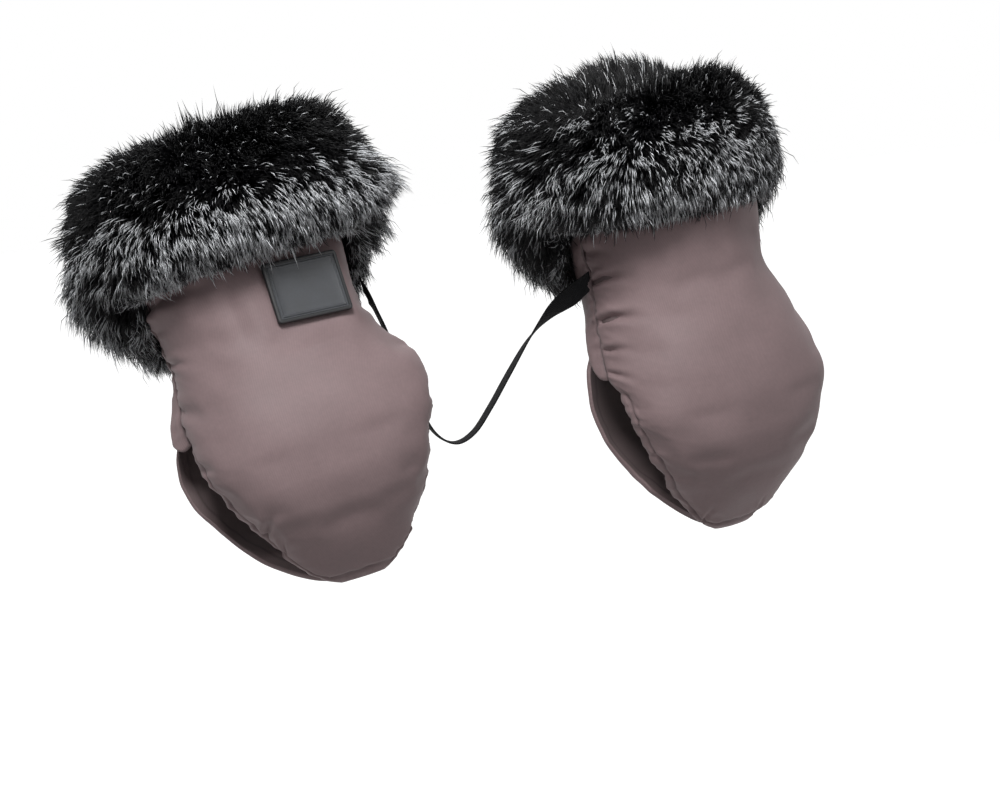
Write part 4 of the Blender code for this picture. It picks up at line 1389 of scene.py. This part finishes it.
def hair_lines(side, seed):
    """Centre lines of a cuff's hairs and how frosted each is, in the muff's own frame."""
    rng = np.random.default_rng(seed)
    count = sizes().hairs
    rows = HAIR_ROWS
    columns = HAIR_COLUMNS
    pile = cuff_grid(side, columns, cuff_outline(PILE_WALL, PILE_OVER, rows))
    reach = cuff_grid(side, columns, cuff_outline(FUR_WALL, FUR_OVER, rows))
    beside_it = (np.roll(pile, -1, axis=1) - np.roll(pile, 1, axis=1)) / 2.0
    crossed = np.cross(beside_it, np.gradient(pile, axis=0))
    weight = np.linalg.norm(crossed, axis=-1)
    weight[: rows // 10] *= HEM_CROWDING
    weight[-1] = 0.0
    pick = rng.choice(rows * columns, size=count, p=weight.ravel() / weight.sum())
    row, column = np.divmod(pick, columns)
    row = row + rng.random(count)
    column = column + rng.random(count)
    share = row / rows
    angle, back = ring_angles(columns)
    cell = np.floor(column).astype(int) % columns
    behind = back[cell]
    beside = np.abs(np.sin(angle[cell]))
    root = grid_value(pile, row, column)
    out = unit(grid_value(crossed, row, column))

    # Hairs gather into locks round a leading hair
    locks = count // HAIRS_TO_LOCK
    centres = rng.choice(count, size=locks, replace=False)
    tree = KDTree(locks)
    for number, centre in enumerate(centres):
        tree.insert(root[centre], number)
    tree.balance()
    lock = np.array([tree.find(point)[1] for point in root])

    # Hairs lie downwards on the wall, stand up over the rim and close over the mouth
    laid = 1.0 - smooth_step((share - 0.34) / 0.3)
    place = (column / columns * CUFF_GIRTH, share * CUFF_RUN)
    sway = soft_noise(*place, seed + 3, 0.035)
    swirl = soft_noise(*place, seed + 7, 0.014)
    comb = rows * (0.01 + 0.045 * laid + 0.022 * swirl * laid)
    drift = columns * (0.01 * sway + 0.006 * swirl) + rng.normal(0.0, 1.6, count)

    # Some locks are frosted, most of them in front and low on the wall. The frost thinning out over
    # the top is partly the fur's own colour and partly painted shade.
    banded = 1.0 - smooth_step((share - FROST_TOP[side]) / FROST_FADE)
    banded = banded * (1.0 - FROST_LESS_LOW[side] * (1.0 - smooth_step(share / 0.24)))
    frosted_locks = FROSTED_SHARE[side] * banded
    frosted_locks = frosted_locks * (1.0 + 0.35 * soft_noise(*place, seed + 12, 0.03))
    frosted_locks = frosted_locks * np.where(behind, FROST_BEHIND, 1.0 - 0.6 * beside**4)
    is_frosted = rng.random(locks)[lock] < frosted_locks
    likely = np.where(is_frosted, FROSTED_IN_LOCK, 0.02 + 0.05 * laid)
    frosted = rng.random(count) < likely
    frost = np.where(frosted, rng.uniform(0.5, 1.0, count), 0.0)

    # Frosted hairs are longer, a few hairs much longer, and leading hairs stray the most
    tip_row = np.abs(row - comb + rng.normal(0.0, 1.2, count))
    tip = grid_value(reach, tip_row, column + drift)
    flare = FLARE_IN_FRONT + (1.0 - FLARE_IN_FRONT) * beside**3
    flare = flare + (1.0 - flare) * (1.0 - laid)
    tip[:, 0] = root[:, 0] + (tip[:, 0] - root[:, 0]) * flare
    size = np.where(frosted, rng.uniform(0.86, 1.04, count), rng.uniform(0.55, 0.97, count))
    size = size * (0.98 + 0.06 * soft_noise(*place, seed + 9, 0.022))
    size += np.where(rng.random(count) < LONG_SHARE, rng.uniform(0.03, 0.2, count), 0.0)
    stray = np.full(count, STRAY)
    stray[centres] = LEADER_STRAY
    tip = root + (tip - root) * size[:, None] + rng.normal(0.0, 1.0, (count, 3)) * stray[:, None]
    length = np.linalg.norm(tip - root, axis=1, keepdims=True)
    bend = root + out * length * rng.uniform(0.4, 0.62, count)[:, None]
    along = np.array(HAIR_PLACES)[None, :, None]
    curve = (root[:, None], 2.0 * bend[:, None], tip[:, None])
    line = curve[0] * (1.0 - along) ** 2 + curve[1] * along * (1.0 - along) + curve[2] * along**2
    leader = line[centres[lock]]
    hold = rng.uniform(0.0, LOCK_HOLD, count)[:, None, None]
    return line + (leader - line) * along**1.3 * hold, frost


def hair_mesh(name, line, frost, finish):
    """Tapered three-sided hairs along their centre lines."""
    count = len(line)
    heading = unit(line[:, -1] - line[:, 0])
    helper = np.where(np.abs(heading[:, 2:3]) > 0.9, (1.0, 0.0, 0.0), (0.0, 0.0, 1.0))
    first = unit(np.cross(heading, helper))
    second = np.cross(heading, first)
    points = []
    for step, width in enumerate(HAIR_WIDTH_SHARES):
        radius = sizes().hair_width / 2.0 * width
        for turn in 2.0 * math.pi * np.arange(3) / 3:
            points.append(line[:, step] + radius * (first * math.cos(turn) + second * math.sin(turn)))
    points.append(line[:, -1])
    per_hair = len(points)
    base = np.arange(count)[:, None, None] * per_hair
    faces = [(base + np.array(corners)).reshape(-1, len(corners[0])) for corners in HAIR_FACES]
    values = {
        "along": np.tile(np.repeat(HAIR_PLACES, (3, 3, 1)), count),
        "frost": np.repeat(frost, per_hair),
    }
    all_points = np.stack(points, axis=1).reshape(-1, 3)
    return mesh_piece(name, all_points, faces, (finish,), None, values)


def add_cuff_hair(side):
    line, frost = hair_lines(side, HAIR_SEEDS[side])
    line = placed(line, side)
    for part in range(CUFF_PARTS):
        chosen = slice(part, None, CUFF_PARTS)
        name = side + "_cuff_hair_" + str(part + 1)
        piece = hair_mesh(name, line[chosen], frost[chosen], fur_material())
        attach(piece, side + "_muff")
        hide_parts(side + "_fur_cuff")


# Strap, patch and studs


def smooth_route(route, steps):
    """Points along a smooth curve through a route's points."""
    route = np.array(route)
    padded = np.vstack((2.0 * route[0] - route[1], route, 2.0 * route[-1] - route[-2]))
    spans = len(route) - 1
    place = np.linspace(0.0, spans, steps + 1)
    index = np.minimum(place.astype(int), spans - 1)
    part = (place - index)[:, None]
    a, b, c, d = (padded[index + k] for k in range(4))
    cubic = 3.0 * b - a - 3.0 * c + d
    square = 2.0 * a - 5.0 * b + 4.0 * c - d
    return 0.5 * (2.0 * b + (c - a) * part + square * part**2 + cubic * part**3)


def webbing_material():
    """Black ribbed webbing."""
    material, tree, shader = finish_material("black_webbing")
    place = carried(tree, "cloth", "Vector")
    split = add_node(tree, "ShaderNodeSeparateXYZ", {0: place})
    turns = maths(tree, "MULTIPLY", split.outputs[1], 2.0 * math.pi / WEBBING_PICK)
    fuzz = noise(tree, place, 1500.0)
    height = maths(tree, "MULTIPLY_ADD", maths(tree, "SINE", turns), 0.35, fuzz)
    colour = colours().webbing
    values = {
        "Base Color": mixed(tree, fuzz, shade(colour), shade(colour, 2.2)),
        "Roughness": 0.62,
        "Specular IOR Level": 0.12,
        "Normal": bump(tree, height, 0.9, 0.0005),
    }
    feed(tree, shader, values)
    return material


def add_strap():
    """The flat strap, ribbed along its length, on edge where it hangs free."""
    line = smooth_route(STRAP_ROUTE, STRAP_STEPS)
    tangents = unit(np.gradient(line, axis=0))
    step = np.arange(STRAP_STEPS + 1) / STRAP_STEPS
    turned_in = smooth_step(np.sin(math.pi * np.minimum(step, 0.5)) * 1.15 - 0.08)
    turn = np.minimum(turned_in, smooth_step((1.0 - step) / 0.06)) * math.pi / 2.0
    at_right, at_left = (np.array(muff_matrix(side))[:3, 2] for side in ("right", "left"))
    upright = at_right + (at_left - at_right) * step[:, None]
    flat = np.array((0.0, -1.0, 0.0))
    width = upright * np.cos(turn)[:, None] + flat * np.sin(turn)[:, None]
    sewn_in = smooth_step(np.minimum(step, 1.0 - step) / STRAP_SEWN_SHARE)[:, None]
    width = unit(width - tangents * np.sum(width * tangents, axis=1, keepdims=True) * sewn_in)
    face = unit(np.cross(tangents, width))
    half = sizes().strap_width / 2.0
    thick = sizes().strap_thickness / 2.0
    share = np.linspace(-1.0, 1.0, STRAP_RIBS * 6 + 1)
    rib = 0.7 + 0.3 * np.abs(np.cos(share * math.pi * STRAP_RIBS / 2.0))
    rise = rib * np.sqrt(np.clip(1.0 - np.abs(share) ** 10, 0.0, 1.0))
    profile_w = np.concatenate((share, share[-2:0:-1]))[:, None] * half
    profile_t = np.concatenate((-rise, rise[-2:0:-1]))[:, None] * thick
    rings = line[:, None] + width[:, None] * profile_w + face[:, None] * profile_t
    points, faces = capped_rings(rings, line[[0, -1]])
    reach = line_reach(line)
    cloth = joined(profile_w[:, 0], reach[:, None], 0.0).reshape(-1, 3)
    values = {"cloth": np.concatenate((cloth, np.zeros((2, 3))))}
    piece = mesh_piece("webbing_strap", points, faces, (webbing_material(),), None, values)
    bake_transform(piece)
    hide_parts("joining_strap")


def rubber_material():
    """Moulded rubber with a fine grain and a darker rim."""
    material, tree, shader = finish_material("black_rubber")
    place = object_place(tree)
    tone = tone_of(tree, place, **{"Patch Size": 0.012})
    colour = colours().rubber
    face = mixed(tree, tone, shade(colour, 0.85), shade(colour, 1.2))
    values = {
        "Base Color": mixed(tree, carried(tree, "rim"), face, shade(colour, 0.22)),
        "Roughness": mapped(tree, tone, 0.0, 1.0, 0.42, 0.52),
        "Normal": bump(tree, noise(tree, place, 1100.0, 3.0), 0.25, 0.0001),
    }
    feed(tree, shader, values)
    return material


PATCH_CENTRE = (0.0214, 0.084)
PATCH_SLOPE_ACROSS = 0.262
PATCH_SLOPE_UP = 0.22
PATCH_SUNK = 0.0032
PATCH_FADE = (0.018, 0.016)
PATCH_TURN_DEGREES = 6.0
PATCH_GAP = 0.0009

# The patch's edge and raised rim: how far in, and how far out of its back
PATCH_PROFILE = (
    (0.0, 0.0),
    (0.0, 0.0014),
    (0.0004, 0.0022),
    (0.001, 0.0024),
    (0.0019, 0.0024),
    (0.0022, 0.0021),
    (0.0025, 0.0016),
    (0.003, 0.0015),
    (0.0033, 0.0017),
    (0.0036, 0.002),
    (0.0041, 0.002),
    (0.0044, 0.0017),
    (0.0047, 0.0016),
)
PATCH_RIM_RINGS = 6
PATCH_CORNER = 0.0022
PATCH_LEAST_CORNER = 0.0004
PATCH_SIDE_STEPS = 24
PATCH_CORNER_STEPS = 6
PATCH_SHRINKS = (0.8, 0.6, 0.4, 0.2)


def patch_loop(inset):
    """Points round the patch's rounded outline, a distance in from its edge."""
    radius = max(PATCH_CORNER - inset, PATCH_LEAST_CORNER)
    half_w = sizes().patch_width / 2.0 - inset - radius
    half_h = sizes().patch_height / 2.0 - inset - radius
    quarter = np.linspace(0.0, 1.0, PATCH_CORNER_STEPS + 1)
    arcs = []
    for corner, (sx, sy) in enumerate(((1, 1), (-1, 1), (-1, -1), (1, -1))):
        turn = (corner + quarter) * math.pi / 2.0
        arc = (sx * half_w + radius * np.cos(turn), sy * half_h + radius * np.sin(turn))
        arcs.append(np.stack(arc, axis=1))
    share = np.linspace(0.0, 1.0, PATCH_SIDE_STEPS + 1)[1:-1, None]
    loop = []
    for arc, after in zip(arcs, arcs[1:] + arcs[:1]):
        loop += [arc, arc[-1] + (after[0] - arc[-1]) * share]
    return np.concatenate(loop)


def patch_depth(x, height):
    """Y of the plane that the stiff patch holds the cloth to."""
    centre = body_surface(np.array(PATCH_CENTRE[1]), patch_turn())[1] + PATCH_SUNK
    across_it = PATCH_SLOPE_ACROSS * (x - PATCH_CENTRE[0])
    return centre + across_it + PATCH_SLOPE_UP * (height - PATCH_CENTRE[1])


def patch_turn():
    """Angle round the muff at which the patch's middle sits."""
    share = PATCH_CENTRE[0] / half_width(np.array(PATCH_CENTRE[1]))
    return np.arcsin(share ** (SECTION_POWER / 2.0))


def on_patch(x, up, rise):
    """Points on the patch's plane, from its middle, and a rise out of it."""
    along = unit(np.array((1.0, PATCH_SLOPE_ACROSS, 0.0)))
    out = unit(np.array((PATCH_SLOPE_ACROSS, -1.0, PATCH_SLOPE_UP)))
    above = np.cross(along, out) * -1.0
    middle = np.array((PATCH_CENTRE[0], patch_depth(*PATCH_CENTRE), PATCH_CENTRE[1]))
    turn = math.radians(PATCH_TURN_DEGREES)
    turned_x = x * math.cos(turn) + up * math.sin(turn)
    turned_up = up * math.cos(turn) - x * math.sin(turn)
    return middle + turned_x[:, None] * along + turned_up[:, None] * above + rise * out


def add_patch():
    """The rubber patch: its back, its rounded edge and raised rim, and its bare face."""
    back = patch_loop(0.0)
    front = patch_loop(PATCH_PROFILE[-1][0])
    level = PATCH_PROFILE[-1][1]
    loops = [(back * shrink, 0.0) for shrink in reversed(PATCH_SHRINKS)]
    loops += [(patch_loop(inset), rise) for inset, rise in PATCH_PROFILE]
    loops += [(front * shrink, level) for shrink in PATCH_SHRINKS]
    rings = [on_patch(*loop.T, PATCH_GAP + rise) for loop, rise in loops]
    zero = np.zeros(1)
    middles = [on_patch(zero, zero, PATCH_GAP + rise) for rise in (0.0, level)]
    points, faces = capped_rings(np.array(rings), np.concatenate(middles))
    rim = np.zeros(len(points))
    first = len(PATCH_SHRINKS) * len(back)
    rim[first : first + PATCH_RIM_RINGS * len(back)] = 1.0
    finishes = (rubber_material(),)
    points = placed(points, "left")
    piece = mesh_piece("rubber_patch", points, faces, finishes, None, {"rim": rim})
    piece.data.set_sharp_from_angle(angle=math.radians(38.0))
    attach(piece, "left_muff")
    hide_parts("left_patch")


def stud_material():
    """Dark plated metal with uneven tone and polish."""
    material, tree, shader = finish_material("dark_plated_metal")
    tone = tone_of(tree, object_place(tree), **{"Patch Size": 0.004})
    colour = colours().metal
    values = {
        "Base Color": mixed(tree, tone, shade(colour, 0.8), shade(colour, 1.25)),
        "Roughness": mapped(tree, tone, 0.0, 1.0, 0.28, 0.42),
        "Metallic": 1.0,
    }
    feed(tree, shader, values)
    return material


# Stage

FLOOR_REACH = 6.0
FLOOR_LEVEL = -0.24
LAMPS = (
    ("key", (-0.5, -1.12, 1.5), (0.0, 0.0, 0.05), 0.6, 34.5),
    ("fill", (0.9, -1.5, 1.3), (0.1, 0.0, 0.0), 1.0, 5.5),
    ("top", (0.1, 0.5, 1.7), (0.0, 0.0, 0.0), 1.0, 12.0),
)


def sees_white(tree):
    """1 for camera, glossy and transmission rays, 0 for the rest."""
    path = add_node(tree, "ShaderNodeLightPath")
    first = maths(tree, "MAXIMUM", path.outputs["Is Camera Ray"], path.outputs["Is Glossy Ray"])
    return maths(tree, "MAXIMUM", first, path.outputs["Is Transmission Ray"])


def add_floor():
    finish, tree, shader = finish_material("pale_floor")
    spread = add_node(
        tree, "ShaderNodeVectorMath", {0: object_place(tree)}, operation="LENGTH"
    ).outputs["Value"]
    pale = mapped(tree, spread, 0.5, 2.2, 0.86, 1.0)
    values = {
        "Base Color": (0.3, 0.3, 0.3, 1.0),
        "Roughness": 0.85,
        "Emission Color": (1.0, 1.0, 1.0, 1.0),
        "Emission Strength": maths(tree, "MULTIPLY", sees_white(tree), pale),
    }
    feed(tree, shader, values)
    corners = np.array(((-1, -1, 0), (1, -1, 0), (1, 1, 0), (-1, 1, 0))) * FLOOR_REACH
    corners[:, 2] = FLOOR_LEVEL
    piece = mesh_piece("floor", corners, [np.array(((0, 1, 2, 3),))], (finish,))


def add_lamp(name, place, aim, size, power):
    light = bpy.data.lights.new(name, "AREA")
    light.shape = "DISK"
    light.size = size
    light.energy = power
    lamp = bpy.data.objects.new(name, light)
    bpy.context.scene.collection.objects.link(lamp)
    lamp.location = place
    lamp.rotation_euler = (Vector(aim) - Vector(place)).to_track_quat("-Z", "Y").to_euler()


def add_camera(scene):
    azimuth = math.radians(CAMERA_AZIMUTH)
    elevation = math.radians(CAMERA_ELEVATION)
    roll = math.radians(CAMERA_ROLL)
    level_right = Vector((math.cos(azimuth), math.sin(azimuth), 0.0))
    level_ahead = Vector((-math.sin(azimuth), math.cos(azimuth), 0.0))
    ahead = level_ahead * math.cos(elevation) - Vector((0.0, 0.0, math.sin(elevation)))
    level_up = level_right.cross(ahead)
    right = level_right * math.cos(roll) + level_up * math.sin(roll)
    up = level_up * math.cos(roll) - level_right * math.sin(roll)
    data = bpy.data.cameras.new("camera")
    data.lens = CAMERA_LENS
    data.sensor_width = SENSOR_WIDTH
    data.sensor_fit = "HORIZONTAL"
    camera = bpy.data.objects.new("camera", data)
    scene.collection.objects.link(camera)
    turn = Matrix((right, up, -ahead)).transposed().to_4x4()
    place = Vector(CAMERA_TARGET) - ahead * CAMERA_DISTANCE
    camera.matrix_world = Matrix.Translation(place) @ turn
    scene.camera = camera


class MUFFS_OT_stage(Operator):
    """Set up the floor, the light, and the camera"""

    bl_idname = "muffs.stage"
    bl_label = "Stage"

    def execute(self, context):
        scene = context.scene
        scene.view_settings.view_transform = "Standard"
        add_floor()
        world = bpy.data.worlds.new("studio")
        world.use_nodes = True
        scene.world = world
        tree = world.node_tree
        lit = maths(tree, "MULTIPLY_ADD", sees_white(tree), 0.91, 0.09)
        feed(tree, tree.nodes["Background"], {"Color": (1.0, 1.0, 1.0, 1.0), "Strength": lit})
        for lamp in LAMPS:
            add_lamp(*lamp)
        add_camera(scene)
        return {"FINISHED"}


class MUFFS_OT_strap(Operator):
    """Make the webbing strap that joins the muffs"""

    bl_idname = "muffs.strap"
    bl_label = "Strap"

    def execute(self, context):
        add_strap()
        return {"FINISHED"}


class MUFFS_OT_fronts(Operator):
    """Make the padded front panels with their tongues"""

    bl_idname = "muffs.fronts"
    bl_label = "Front panels"

    def execute(self, context):
        for side in SIDE_SIGNS:
            add_front_panel(side)
        return {"FINISHED"}


class MUFFS_OT_backs(Operator):
    """Make the padded backs with their flaps"""

    bl_idname = "muffs.backs"
    bl_label = "Backs and flaps"

    def execute(self, context):
        for side in SIDE_SIGNS:
            add_back_panel(side)
        return {"FINISHED"}


class MUFFS_OT_cuffs(Operator):
    """Make the fur cuffs, under-pile and hair"""

    bl_idname = "muffs.cuffs"
    bl_label = "Fur cuffs"

    def execute(self, context):
        for side in SIDE_SIGNS:
            add_cuff_pile(side)
            add_cuff_hair(side)
        return {"FINISHED"}


class MUFFS_OT_patch(Operator):
    """Make the bare rubber patch on the left muff"""

    bl_idname = "muffs.patch"
    bl_label = "Rubber patch"

    def execute(self, context):
        add_patch()
        return {"FINISHED"}


class MUFFS_OT_studs(Operator):
    """Finish the press studs in dark plated metal"""

    bl_idname = "muffs.studs"
    bl_label = "Press studs"

    def execute(self, context):
        studs = [node for name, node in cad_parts.items() if "_snap_" in name]
        if not studs:
            raise RuntimeError("the frame has no press studs")
        finish = stud_material()
        for node in studs:
            node.data.materials.clear()
            node.data.materials.append(finish)
        return {"FINISHED"}


STEPS = (
    MUFFS_OT_stage,
    MUFFS_OT_strap,
    MUFFS_OT_fronts,
    MUFFS_OT_backs,
    MUFFS_OT_cuffs,
    MUFFS_OT_patch,
    MUFFS_OT_studs,
)


class MUFFS_PT_pieces(Panel):
    """Lists the steps that make the muffs"""

    bl_label = "Muffs"
    bl_idname = "MUFFS_PT_pieces"
    bl_space_type = "VIEW_3D"
    bl_region_type = "UI"
    bl_category = "Muffs"

    def draw(self, context):
        layout = self.layout
        for step in STEPS:
            layout.operator(step.bl_idname)
        for group in (context.scene.muff_sizes, context.scene.muff_colours):
            for name in group.__annotations__:
                layout.prop(group, name)


CLASSES = (MuffSizes, MuffColours, *STEPS, MUFFS_PT_pieces)


def register():
    for made in CLASSES:
        bpy.utils.register_class(made)
    bpy.types.Scene.muff_sizes = PointerProperty(type=MuffSizes)
    bpy.types.Scene.muff_colours = PointerProperty(type=MuffColours)


def unregister():
    del bpy.types.Scene.muff_colours
    del bpy.types.Scene.muff_sizes
    for made in reversed(CLASSES):
        bpy.utils.unregister_class(made)


def main():
    register()
    bpy.ops.muffs.stage()
    bpy.ops.muffs.strap()
    bpy.ops.muffs.fronts()
    bpy.ops.muffs.backs()
    bpy.ops.muffs.cuffs()
    bpy.ops.muffs.patch()
    bpy.ops.muffs.studs()


if __name__ == "__main__":
    main()
